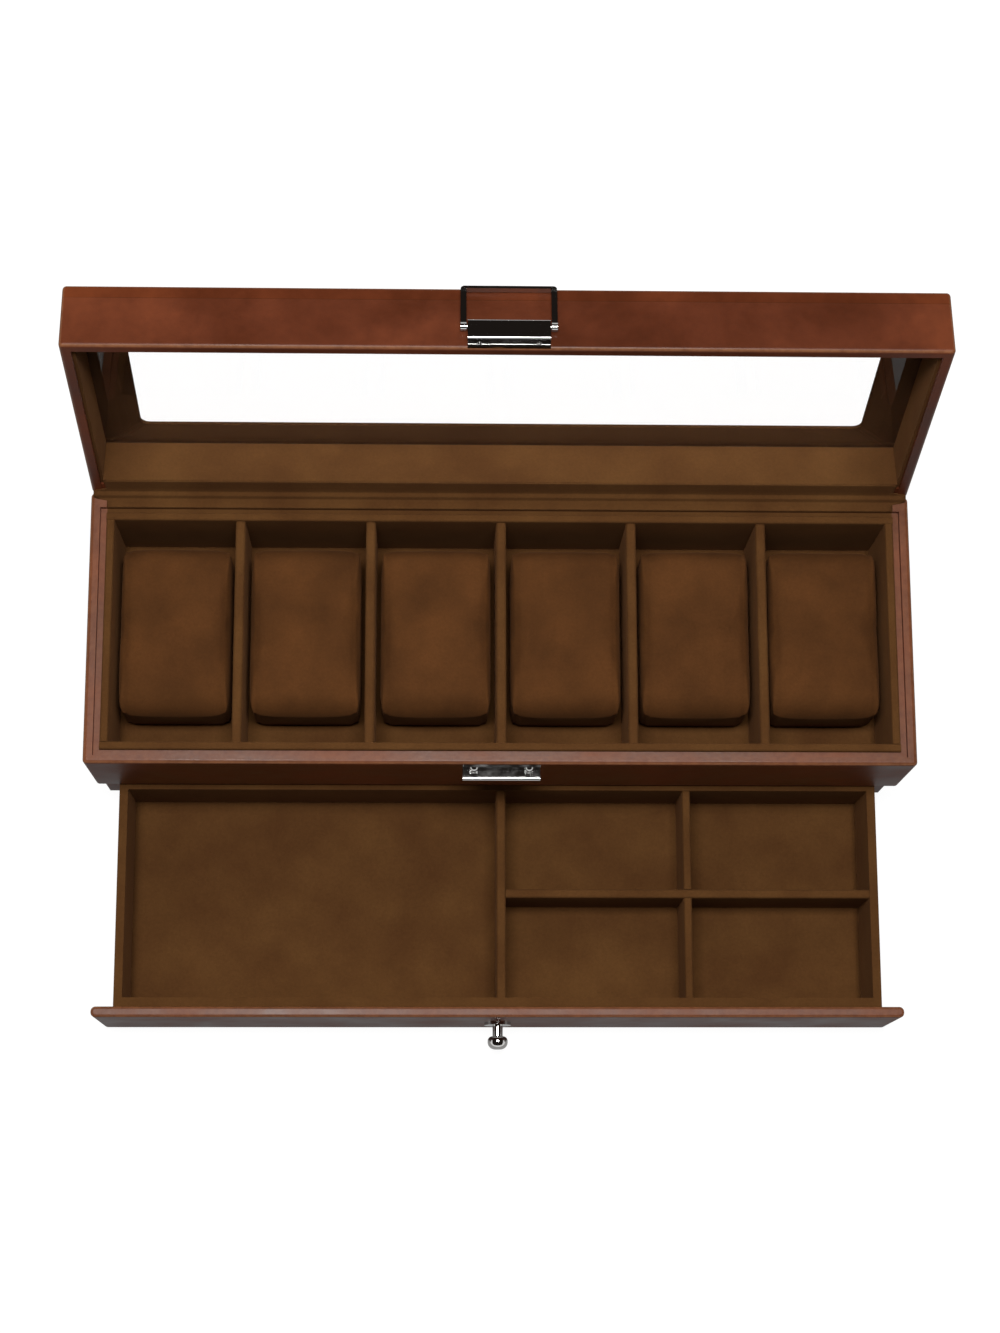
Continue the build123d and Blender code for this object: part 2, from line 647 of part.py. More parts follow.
def lid_top_frame():
    """The top of the lid, a flat frame round a window that splays outwards."""
    with BuildPart() as frame:
        with BuildSketch(RIM_PLANE.offset(LID_TOP_W)):
            with Locations((0, -LID_D / 2)):
                Rectangle(LID_W, LID_D)
        extrude(amount=LID_TOP_T)
        corners = frame.edges().filter_by(W_AXIS)
        crown = frame.faces().filter_by(W_AXIS).sort_by(W_AXIS)[-1]
        fillet(corners + crown.edges(), EDGE_R)
        with BuildSketch(RIM_PLANE.offset(LID_TOP_W)):
            with Locations((0, -WINDOW_U)):
                RectangleRounded(WINDOW_W, WINDOW_D, WINDOW_R)
        extrude(amount=LID_TOP_T, mode=Mode.SUBTRACT)
        with BuildSketch(RIM_PLANE.offset(LID_TOP_W + WINDOW_EDGE_T)):
            with Locations((0, -WINDOW_U)):
                RectangleRounded(WINDOW_W, WINDOW_D, WINDOW_R)
        with BuildSketch(RIM_PLANE.offset(LID_H)):
            with Locations((0, -WINDOW_U)):
                RectangleRounded(
                    WINDOW_W + 2 * WINDOW_SPLAY, WINDOW_D + 2 * WINDOW_SPLAY, WINDOW_R + WINDOW_SPLAY
                )
        loft(mode=Mode.SUBTRACT)
    return frame


def lid_back_lining():
    """The lining of the lid's back wall, thicker at the rim than at the glass."""
    with BuildPart() as lining:
        with BuildSketch(lid_section(0)):
            with BuildLine():
                Polyline(
                    (LID_BACK_T, CLOTH_T),
                    (LID_BACK_T + BACK_LINING_RIM_T, CLOTH_T),
                    (LID_BACK_T + BACK_LINING_DEEP_T, GLASS_W),
                    (LID_BACK_T, GLASS_W),
                    close=True,
                )
            make_face()
        extrude(amount=LID_INNER_X - LID_LINING_T, both=True)
    return lining


# Clasp and catch

def dome_screws(seats, head_r, head_h, shank_r):
    """Dome screws with a cross slot, one on each seat."""
    cross = (head_r * CROSS_L_SHARE, head_r * CROSS_W_SHARE)
    with BuildPart() as screws:
        for seat in seats:
            with BuildSketch(axial_plane(seat)):
                with BuildLine():
                    Polyline(
                        (0, head_h),
                        (0, -DOME_SHANK_L),
                        (shank_r, -DOME_SHANK_L),
                        (shank_r, 0),
                        (head_r, 0),
                        (head_r, DOME_RIM_T),
                    )
                    TangentArc((0, head_h), (head_r, DOME_RIM_T), tangent=(1, 0))
                make_face()
            revolve(axis=Axis(seat.origin, seat.z_dir))
            with BuildSketch(seat.offset(head_h)):
                Rectangle(*cross)
                Rectangle(*cross, rotation=90)
            extrude(amount=-CROSS_DEPTH, mode=Mode.SUBTRACT)
    return screws


def catch_plate():
    """The catch: a screwed plate whose lower edge is bent out and rolled."""
    roll_z = CASE_H - CATCH_LIP_DROP
    low_z = roll_z - CATCH_ROLL_R
    with BuildPart() as plate:
        with BuildSketch(Plane.YZ):
            with Locations((FRONT_Y, low_z)):
                Rectangle(
                    CATCH_PLATE_T, CASE_H - CATCH_TOP_SINK - low_z, align=(Align.MAX, Align.MIN)
                )
                Rectangle(CATCH_LIP_L - CATCH_ROLL_R, CATCH_PLATE_T, align=(Align.MAX, Align.MIN))
            with Locations((FRONT_Y - CATCH_LIP_L + CATCH_ROLL_R, roll_z)):
                Circle(CATCH_ROLL_R)
        extrude(amount=CATCH_W / 2, both=True)
        top_corners = plate.edges().filter_by(Axis.Y).group_by(Axis.Z)[-1]
        fillet(top_corners, CATCH_CORNER_R)
        with Locations(*CATCH_SEATS):
            Hole(CATCH_SHANK_R, CATCH_PLATE_T)
    return plate


def clasp_plate():
    """The fixed half of the clasp: a screwed flange and a raised block that holds the pin."""
    with BuildPart() as plate:
        with BuildSketch(lid_section(0)):
            with Locations((LID_D, CLASP_FLANGE_LOW)):
                Rectangle(SHEET_T, CLASP_BLOCK_LOW - CLASP_FLANGE_LOW, align=(Align.MIN, Align.MIN))
            with Locations((LID_D, CLASP_BLOCK_LOW)):
                Rectangle(
                    CLASP_BLOCK_PROUD, CLASP_BLOCK_HIGH - CLASP_BLOCK_LOW, align=(Align.MIN, Align.MIN)
                )
        extrude(amount=CLASP_W / 2, both=True)
        fillet(plate.edges().filter_by(Axis.X).group_by(U_AXIS)[-1], CLASP_BLOCK_R)
        with BuildSketch(lid_section(0)):
            with Locations((LID_D + CLASP_PIVOT_PROUD, CLASP_PIVOT_H)):
                Circle(CLASP_PIN_R + CLASP_PIN_FIT)
        extrude(amount=CLASP_W / 2, both=True, mode=Mode.SUBTRACT)
        with Locations(*CLASP_SEATS):
            Hole(CLASP_SHANK_R, SHEET_T)
    return plate


def clasp_pin():
    """The pin that the loop swings on."""
    with BuildPart() as pin:
        with BuildSketch(lid_section(0)):
            with Locations((LID_D + CLASP_PIVOT_PROUD, CLASP_PIVOT_H)):
                Circle(CLASP_PIN_R)
        extrude(amount=LOOP_W / 2, both=True)
    return pin


def clasp_loop():
    """The loop of the clasp, laid back against the lid: two bars, their eyes and a bent end."""
    bar_x = (LOOP_W - LOOP_BAR_W) / 2
    with BuildPart() as loop:
        with BuildSketch(lid_face(0, CLASP_PIVOT_PROUD - SHEET_T / 2, CLASP_PIVOT_H)):
            with GridLocations(2 * bar_x, 0, 2, 1):
                Rectangle(
                    LOOP_BAR_W, LOOP_REACH + LOOP_FLANGE_T, align=(Align.CENTER, Align.MIN)
                )
        extrude(amount=SHEET_T)
        with BuildSketch(lid_face(0, CLASP_PIVOT_PROUD - LOOP_FLANGE_H / 2, CLASP_PIVOT_H + LOOP_REACH)):
            Rectangle(LOOP_W, LOOP_FLANGE_T, align=(Align.CENTER, Align.MIN))
        extrude(amount=LOOP_FLANGE_H)
        fillet(loop.edges().filter_by(U_AXIS).group_by(W_AXIS)[-1], LOOP_CORNER_R)
        for side in (-1, 1):
            with BuildSketch(lid_section(side * bar_x)):
                with Locations((LID_D + CLASP_PIVOT_PROUD, CLASP_PIVOT_H)):
                    Circle(LOOP_EYE_R)
            extrude(amount=LOOP_BAR_W / 2, both=True)
        with BuildSketch(lid_section(0)):
            with Locations((LID_D + CLASP_PIVOT_PROUD, CLASP_PIVOT_H)):
                Circle(CLASP_PIN_R + CLASP_PIN_FIT)
        extrude(amount=LOOP_W / 2, both=True, mode=Mode.SUBTRACT)
    return loop


# Drawer

def drawer_front():
    """The panel that closes the drawer bay, drilled for the knob's screw."""
    with BuildPart() as panel:
        with BuildSketch(Plane.XY.offset(DRAWER_FRONT_BOTTOM)):
            with Locations((0, (DRAWER_Y + DRAWER_BOX_Y) / 2)):
                RectangleRounded(DRAWER_FRONT_W, DRAWER_FRONT_T, DRAWER_END_R)
        extrude(amount=DRAWER_FRONT_TOP - DRAWER_FRONT_BOTTOM)
        level_faces = panel.faces().filter_by(Axis.Z)
        fillet(level_faces.edges(), DRAWER_EDGE_R)
        with Locations(KNOB_SEAT):
            Hole(KNOB_SCREW_R + HOLE_GAP, DRAWER_FRONT_T)
    return panel


def drawer_front_wall():
    """The front wall of the drawer's box, counterbored for the knob's screw."""
    with BuildPart() as wall:
        with BuildSketch(Plane.XY.offset(DRAWER_LOW_Z)):
            with Locations((0, (DRAWER_BOX_Y + DRAWER_INNER_Y) / 2)):
                Rectangle(2 * DRAWER_INNER_X, DRAWER_FRONT_WALL_T)
        extrude(amount=DRAWER_TOP_Z - DRAWER_LOW_Z)
        with Locations(KNOB_SCREW_SEAT):
            CounterBoreHole(
                KNOB_SCREW_R + HOLE_GAP,
                KNOB_SCREW_HEAD_R + HOLE_GAP,
                KNOB_SCREW_HEAD_T,
                DRAWER_FRONT_WALL_T,
            )
    return wall


def drawer_right_divider():
    """The divider of the drawer's right half, slotted from above for the cross divider."""
    with BuildPart() as panel:
        with BuildSketch(Plane.XY.offset(DRAWER_FLOOR_Z)):
            with Locations((RIGHT_DIVIDER_X, CROSS_DIVIDER_Y)):
                Rectangle(RIGHT_DIVIDER_T, DRAWER_INNER_D)
        extrude(amount=DRAWER_DIVIDER_Z - DRAWER_FLOOR_Z)
        fillet(panel.edges().filter_by(Axis.Y).group_by(Axis.Z)[-1], DRAWER_DIVIDER_R)
        with BuildSketch(Plane.XY.offset(HALVING_Z)):
            with Locations((RIGHT_DIVIDER_X, CROSS_DIVIDER_Y)):
                Rectangle(RIGHT_DIVIDER_T, CROSS_DIVIDER_T + 2 * HALVING_GAP)
        extrude(amount=DRAWER_DIVIDER_Z - HALVING_Z, mode=Mode.SUBTRACT)
    return panel


def drawer_cross_divider():
    """The divider across the drawer's right half, slotted from below."""
    with BuildPart() as panel:
        with BuildSketch(Plane.XY.offset(DRAWER_FLOOR_Z)):
            with Locations(((MIDDLE_DIVIDER_RIGHT_X + DRAWER_INNER_X) / 2, CROSS_DIVIDER_Y)):
                Rectangle(DRAWER_INNER_X - MIDDLE_DIVIDER_RIGHT_X, CROSS_DIVIDER_T)
        extrude(amount=DRAWER_DIVIDER_Z - DRAWER_FLOOR_Z)
        fillet(panel.edges().filter_by(Axis.X).group_by(Axis.Z)[-1], DRAWER_DIVIDER_R)
        with BuildSketch(Plane.XY.offset(DRAWER_FLOOR_Z)):
            with Locations((RIGHT_DIVIDER_X, CROSS_DIVIDER_Y)):
                Rectangle(RIGHT_DIVIDER_T + 2 * HALVING_GAP, CROSS_DIVIDER_T)
        extrude(amount=HALVING_Z - DRAWER_FLOOR_Z, mode=Mode.SUBTRACT)
    return panel


def drawer_knob():
    """The round pull: a foot, a slim stem and a rounded head, bored for its screw."""
    with BuildPart() as knob:
        with BuildSketch(axial_plane(KNOB_SEAT)) as profile:
            Rectangle(KNOB_FOOT_R, KNOB_FOOT_T, align=(Align.MIN, Align.MIN))
            Rectangle(KNOB_STEM_R, KNOB_L, align=(Align.MIN, Align.MIN))
            with Locations((0, KNOB_L - KNOB_HEAD_L)):
                Rectangle(KNOB_HEAD_R, KNOB_HEAD_L, align=(Align.MIN, Align.MIN))
            head_corners = profile.vertices().group_by(Axis.X)[-2].sort_by(Axis.Y)
            foot_corner = profile.vertices().group_by(Axis.X)[-1].sort_by(Axis.Y)[-1]
            fillet(head_corners[0], KNOB_BACK_R)
            fillet(profile.vertices().sort_by(Axis.Y)[-2:].sort_by(Axis.X)[-1], KNOB_NOSE_R)
            chamfer(foot_corner, KNOB_FOOT_CHAMFER)
        revolve(axis=Axis(KNOB_SEAT.origin, KNOB_SEAT.z_dir))
        with BuildSketch(KNOB_SEAT):
            Circle(KNOB_SCREW_R)
        extrude(amount=KNOB_SCREW_BITE, mode=Mode.SUBTRACT)
    return knob


def knob_screw():
    """The screw that holds the knob, its head sunk in the front wall of the box."""
    shank = KNOB_SCREW_BITE + DRAWER_FRONT_T + DRAWER_FRONT_WALL_T
    with BuildPart() as screw:
        with BuildSketch(KNOB_SCREW_SEAT):
            Circle(KNOB_SCREW_R)
        extrude(amount=-shank)
        with BuildSketch(KNOB_SCREW_SEAT):
            Circle(KNOB_SCREW_HEAD_R)
        extrude(amount=-KNOB_SCREW_HEAD_T)
    return screw


def save_case():
    """Write the boards of the case and the drawer's guides."""
    save(board(-BOARD_X, BOARD_X, CARCASS_FRONT_Y, BAY_BACK_Y, 0, BASE_T), "base_panel")
    save(side_panel(-1), "left_side_panel")
    save(side_panel(1), "right_side_panel")
    save(back_panel(), "back_panel")
    save(back_rail(), "back_rail")
    save(front_rail(), "front_rail")
    save(board(-BOARD_X, BOARD_X, RAIL_INNER_Y, BAY_BACK_Y, BAY_H, SHELF_TOP_Z), "shelf_panel")
    guide_x = BOARD_X - GUIDE_T
    left_guide = board(-BOARD_X, -guide_x, CARCASS_FRONT_Y, BAY_BACK_Y, BASE_T, BAY_H)
    right_guide = board(guide_x, BOARD_X, CARCASS_FRONT_Y, BAY_BACK_Y, BASE_T, BAY_H)
    save(left_guide, "left_drawer_guide")
    save(right_guide, "right_drawer_guide")


def save_tray():
    """Write the lining, the liners, the dividers and the cushions of the tray."""
    floor = board(-TRAY_X, TRAY_X, TRAY_FRONT_Y, TRAY_BACK_Y, SHELF_TOP_Z, TRAY_FLOOR_Z)
    save(floor, "tray_floor_lining")
    upright = (SHELF_TOP_Z, LINER_TOP_Z, LINER_R)
    front = padded_board(-BOARD_X, BOARD_X, RAIL_INNER_Y, TRAY_FRONT_Y, *upright, Axis.X)
    back = padded_board(-BOARD_X, BOARD_X, TRAY_BACK_Y, BACK_RAIL_Y, *upright, Axis.X)
    left = padded_board(-BOARD_X, -TRAY_X, TRAY_FRONT_Y, TRAY_BACK_Y, *upright, Axis.Y)
    right = padded_board(TRAY_X, BOARD_X, TRAY_FRONT_Y, TRAY_BACK_Y, *upright, Axis.Y)
    save(front, "front_liner")
    save(back, "back_liner")
    save(left, "left_liner")
    save(right, "right_liner")
    for number in range(1, SPACES):
        save(divider(number), f"divider_{number}")
    for number in range(1, SPACES + 1):
        save(cushion(number), f"cushion_{number}")


def save_hinges():
    """Write the hinges and the cloth that hides them."""
    save(hinge_leaves(FORWARD, DOWN, (-1, 1), CASE_LEAF_SEATS), "hinge_case_leaves")
    save(hinge_leaves(LID_OUT, LID_UP, (0,), LID_LEAF_SEATS), "hinge_lid_leaves")
    save(hinge_pins(), "hinge_pins")
    save(leaf_screws(CASE_LEAF_SEATS), "hinge_case_screws")
    save(leaf_screws(LID_LEAF_SEATS), "hinge_lid_screws")
    save(case_hinge_cloth(), "case_hinge_cloth")
    save(lid_hinge_cloth(), "lid_hinge_cloth")


def save_lid():
    """Write the walls, the frame, the glass and the linings of the lid."""
    save(lid_side_wall(-1), "lid_left_wall")
    save(lid_side_wall(1), "lid_right_wall")
    save(lid_front_wall(), "lid_front_wall")
    save(lid_back_wall(), "lid_back_wall")
    save(lid_top_frame(), "lid_top_frame")
    pane_x = LID_INNER_X - GLASS_GAP
    pane = lid_board(
        -pane_x, pane_x, LID_BACK_T + GLASS_GAP, LID_INNER_U - GLASS_GAP, GLASS_W, LID_TOP_W
    )
    save(pane, "glass_pane")
    lining_x = LID_INNER_X - LID_LINING_T
    depth = (LID_LINING_SINK, GLASS_W)
    left = lid_board(-LID_INNER_X, -lining_x, LID_BACK_T, LID_INNER_U, *depth)
    right = lid_board(lining_x, LID_INNER_X, LID_BACK_T, LID_INNER_U, *depth)
    front = lid_board(-lining_x, lining_x, LID_INNER_U - LID_LINING_T, LID_INNER_U, *depth)
    save(left, "lid_left_lining")
    save(right, "lid_right_lining")
    save(front, "lid_front_lining")
    save(lid_back_lining(), "lid_back_lining")


def save_clasp():
    """Write the clasp, its loop and the catch."""
    save(clasp_plate(), "clasp_plate")
    save(clasp_pin(), "clasp_pin")
    save(dome_screws(CLASP_SEATS, CLASP_DOME_R, CLASP_DOME_H, CLASP_SHANK_R), "clasp_screws")
    save(clasp_loop(), "clasp_loop")
    save(catch_plate(), "catch_plate")
    save(dome_screws(CATCH_SEATS, CATCH_DOME_R, CATCH_DOME_H, CATCH_SHANK_R), "catch_screws")


def save_drawer():
    """Write the drawer's front, box, lining, dividers and knob."""
    save(drawer_front(), "drawer_front")
    save(drawer_front_wall(), "drawer_front_wall")
    upright = (DRAWER_LOW_Z, DRAWER_TOP_Z)
    left = board(-DRAWER_X, -DRAWER_INNER_X, DRAWER_BOX_Y, DRAWER_TAIL_Y, *upright)
    right = board(DRAWER_INNER_X, DRAWER_X, DRAWER_BOX_Y, DRAWER_TAIL_Y, *upright)
    back = board(-DRAWER_INNER_X, DRAWER_INNER_X, DRAWER_INNER_BACK_Y, DRAWER_BACK_Y, *upright)
    save(left, "drawer_left_side")
    save(right, "drawer_right_side")
    save(back, "drawer_back_wall")
    inside = (-DRAWER_INNER_X, DRAWER_INNER_X, DRAWER_INNER_Y, DRAWER_INNER_BACK_Y)
    save(board(*inside, DRAWER_BOTTOM_Z, DRAWER_LINING_Z), "drawer_bottom")
    save(board(*inside, DRAWER_LINING_Z, DRAWER_FLOOR_Z), "drawer_floor_lining")
    middle = padded_board(
        MIDDLE_DIVIDER_LEFT_X,
        MIDDLE_DIVIDER_RIGHT_X,
        DRAWER_INNER_Y,
        DRAWER_INNER_BACK_Y,
        DRAWER_FLOOR_Z,
        DRAWER_DIVIDER_Z,
        DRAWER_DIVIDER_R,
        Axis.Y,
    )
    save(middle, "drawer_middle_divider")
    save(drawer_right_divider(), "drawer_right_divider")
    save(drawer_cross_divider(), "drawer_cross_divider")
    save(drawer_knob(), "drawer_knob")
    save(knob_screw(), "knob_screw")


os.makedirs("parts", exist_ok=True)
save_case()
save_tray()
save_hinges()
save_lid()
save_clasp()
save_drawer()
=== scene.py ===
import logging
import math
from dataclasses import dataclass, field
from enum import Enum

import bmesh
import bpy
from mathutils import Matrix, Vector, noise


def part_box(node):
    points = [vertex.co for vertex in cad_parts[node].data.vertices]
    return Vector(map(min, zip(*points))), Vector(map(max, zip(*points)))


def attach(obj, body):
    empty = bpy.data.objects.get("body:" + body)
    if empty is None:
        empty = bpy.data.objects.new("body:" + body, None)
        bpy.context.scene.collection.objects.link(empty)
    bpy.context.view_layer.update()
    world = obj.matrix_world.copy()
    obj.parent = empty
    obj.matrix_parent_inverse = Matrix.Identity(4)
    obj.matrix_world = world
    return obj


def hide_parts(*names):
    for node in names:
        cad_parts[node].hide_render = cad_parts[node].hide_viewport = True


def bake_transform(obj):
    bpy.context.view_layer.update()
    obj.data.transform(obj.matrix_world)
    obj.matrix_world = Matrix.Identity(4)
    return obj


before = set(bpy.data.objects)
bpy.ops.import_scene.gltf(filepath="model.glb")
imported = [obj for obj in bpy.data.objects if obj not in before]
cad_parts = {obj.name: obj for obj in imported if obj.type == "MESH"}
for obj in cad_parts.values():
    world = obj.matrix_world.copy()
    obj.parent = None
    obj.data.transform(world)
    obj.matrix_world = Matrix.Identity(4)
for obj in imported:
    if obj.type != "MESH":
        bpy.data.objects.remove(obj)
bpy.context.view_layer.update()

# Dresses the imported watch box: its leatherette, suede, metal and glass, the stuffed cushions,
# the padded linings and the soft fold of cloth over the hinge. Lengths are in metres.

MM = 0.001
LOG = logging.getLogger("watch_box")

# The lid stands open by this angle, about an axis along X through this point
LID_OPEN = math.radians(102.3)
HINGE_POINT = Vector((0.0, 56.0, 95.15)) * MM
LID_LEAN = LID_OPEN - math.pi / 2
RIM_HALF_GAP = 0.15 * MM
LID_OUT = Vector((0.0, -math.cos(LID_OPEN), math.sin(LID_OPEN)))
LID_UP = Vector((0.0, math.sin(LID_OPEN), math.cos(LID_OPEN)))


class Body(Enum):
    """The bodies that the new pieces ride on."""

    CASE = "case"
    LID = "lid"
    DRAWER = "drawer"


class Slot(Enum):
    """The record's material slots for the new pieces; nothing here assigns them."""

    SUEDE = "suede"
    CUSHION_SUEDE = "cushion_suede"


def linear(code: str) -> tuple[float, float, float, float]:
    """Turns an sRGB hex colour into the linear colour that a shader takes.

    Args:
        code: The colour, such as "#5f301c".

    Returns:
        Red, green and blue in linear light, and an alpha of one.
    """
    channels = []
    for start in (1, 3, 5):
        value = int(code[start:start + 2], 16) / 255
        low = value / 12.92
        high = ((value + 0.055) / 1.055) ** 2.4
        channels.append(low if value <= 0.04045 else high)
    return channels[0], channels[1], channels[2], 1.0


def add_node(
    tree: bpy.types.NodeTree,
    kind: str,
    settings: dict[str | int, object] | None = None,
    links: dict[str | int, bpy.types.NodeSocket] | None = None,
    **options: object,
) -> bpy.types.Node:
    """Adds a node with its settings and links.

    Args:
        tree: The node tree that gets the node.
        kind: Blender's name of the node's type.
        settings: Values for its input sockets, by name or number.
        links: Output sockets that feed its input sockets, by name or number.
        **options: The node's own properties, such as operation.

    Returns:
        The new node.
    """
    node = tree.nodes.new(kind)
    for name, value in options.items():
        setattr(node, name, value)
    for socket, value in (settings or {}).items():
        node.inputs[socket].default_value = value
    for socket, source in (links or {}).items():
        tree.links.new(source, node.inputs[socket])
    return node


def math_node(
    tree: bpy.types.NodeTree, operation: str, *terms: bpy.types.NodeSocket | float
) -> bpy.types.NodeSocket:
    """Adds a math node.

    Args:
        tree: The node tree that gets the node.
        operation: Blender's name of the operation.
        *terms: Its terms in order, each a number or an output socket.

    Returns:
        The result.
    """
    node = add_node(tree, "ShaderNodeMath", operation=operation)
    for slot, term in enumerate(terms):
        if isinstance(term, bpy.types.NodeSocket):
            tree.links.new(term, node.inputs[slot])
        else:
            node.inputs[slot].default_value = term
    return node.outputs["Value"]


def dot_node(
    tree: bpy.types.NodeTree, vector: bpy.types.NodeSocket, direction: Vector
) -> bpy.types.NodeSocket:
    """Adds a node that measures how far a vector goes in a direction."""
    node = add_node(tree, "ShaderNodeVectorMath", {1: direction}, {0: vector}, operation="DOT_PRODUCT")
    return node.outputs["Value"]


def noise_node(
    tree: bpy.types.NodeTree,
    place: bpy.types.NodeSocket,
    size_mm: float,
    detail: float,
    roughness: float = 0.5,
    distortion: float = 0.0,
) -> bpy.types.NodeSocket:
    """Adds a noise texture.

    Args:
        tree: The node tree that gets the node.
        place: The place in the piece's own frame.
        size_mm: The size of its largest lumps, in millimetres.
        detail: How many finer layers it has.
        roughness: How strong the finer layers are.
        distortion: How far it is warped.

    Returns:
        The noise, from 0 to 1.
    """
    settings = {
        "Scale": 1 / (size_mm * MM),
        "Detail": detail,
        "Roughness": roughness,
        "Distortion": distortion,
    }
    return add_node(tree, "ShaderNodeTexNoise", settings, {"Vector": place}).outputs["Fac"]


def remap_node(
    tree: bpy.types.NodeTree,
    value: bpy.types.NodeSocket,
    source: tuple[float, float],
    target: tuple[float, float],
    curve: str = "LINEAR",
) -> bpy.types.NodeSocket:
    """Adds a node that carries one range of values over to another, and stops at its ends.

    Args:
        tree: The node tree that gets the node.
        value: The value.
        source: The range that it comes from.
        target: The range that it goes to.
        curve: Blender's name of the way between the ends.

    Returns:
        The value in its new range.
    """
    settings = {"From Min": source[0], "From Max": source[1], "To Min": target[0], "To Max": target[1]}
    node = add_node(tree, "ShaderNodeMapRange", settings, {"Value": value}, interpolation_type=curve)
    return node.outputs["Result"]


def ramp_node(
    tree: bpy.types.NodeTree, value: bpy.types.NodeSocket, stops: list[tuple[float, str]]
) -> bpy.types.NodeSocket:
    """Adds a colour ramp.

    Args:
        tree: The node tree that gets the node.
        value: The value that picks the colour.
        stops: Pairs of position and sRGB hex colour, from low to high.

    Returns:
        The colour.
    """
    ramp = add_node(tree, "ShaderNodeValToRGB", links={"Fac": value})
    elements = ramp.color_ramp.elements
    while len(elements) < len(stops):
        elements.new(0.5)
    for element, (position, code) in zip(elements, stops):
        element.position = position
        element.color = linear(code)
    return ramp.outputs["Color"]


def shade_node(
    tree: bpy.types.NodeTree, colour: bpy.types.NodeSocket, factor: bpy.types.NodeSocket
) -> bpy.types.NodeSocket:
    """Adds a node that makes a colour lighter or darker by a factor."""
    node = add_node(tree, "ShaderNodeVectorMath", links={0: colour, "Scale": factor}, operation="SCALE")
    return node.outputs["Vector"]


def mix_colours(
    tree: bpy.types.NodeTree,
    share: bpy.types.NodeSocket,
    first: bpy.types.NodeSocket | str,
    second: bpy.types.NodeSocket | str,
) -> bpy.types.NodeSocket:
    """Adds a node that mixes two colours.

    Args:
        tree: The node tree that gets the node.
        share: The share of the second colour, from 0 to 1.
        first: An output socket or an sRGB hex colour.
        second: Another.

    Returns:
        The mixed colour.
    """
    node = add_node(tree, "ShaderNodeMix", links={0: share}, data_type="RGBA")
    for slot, colour in ((6, first), (7, second)):
        if isinstance(colour, str):
            node.inputs[slot].default_value = linear(colour)
        else:
            tree.links.new(colour, node.inputs[slot])
    return node.outputs[2]


def bump_node(
    tree: bpy.types.NodeTree, height: bpy.types.NodeSocket, strength: float, depth_mm: float
) -> bpy.types.NodeSocket:
    """Adds a bump, and gives its normal."""
    settings = {"Strength": strength, "Distance": depth_mm * MM}
    return add_node(tree, "ShaderNodeBump", settings, {"Height": height}).outputs["Normal"]


def mix_shaders(
    tree: bpy.types.NodeTree,
    output: bpy.types.Node,
    share: bpy.types.NodeSocket,
    first: bpy.types.Node,
    second: bpy.types.Node,
) -> None:
    """Gives an output node a mix of two shaders.

    Args:
        tree: The tree of all of them.
        output: The output node.
        share: The share of the second shader, from 0 to 1.
        first: The first shader's node.
        second: The second shader's node.
    """
    both = add_node(
        tree, "ShaderNodeMixShader", links={0: share, 1: first.outputs[0], 2: second.outputs[0]}
    )
    tree.links.new(both.outputs["Shader"], output.inputs["Surface"])


def new_material(name: str) -> tuple[bpy.types.Material, bpy.types.NodeTree, bpy.types.Node]:
    """Starts a material with an empty tree and an output.

    Args:
        name: The material's name.

    Returns:
        The material, its tree, and its output node.
    """
    material = bpy.data.materials.new(name)
    material.use_nodes = True
    material.node_tree.nodes.clear()
    output = add_node(material.node_tree, "ShaderNodeOutputMaterial")
    return material, material.node_tree, output


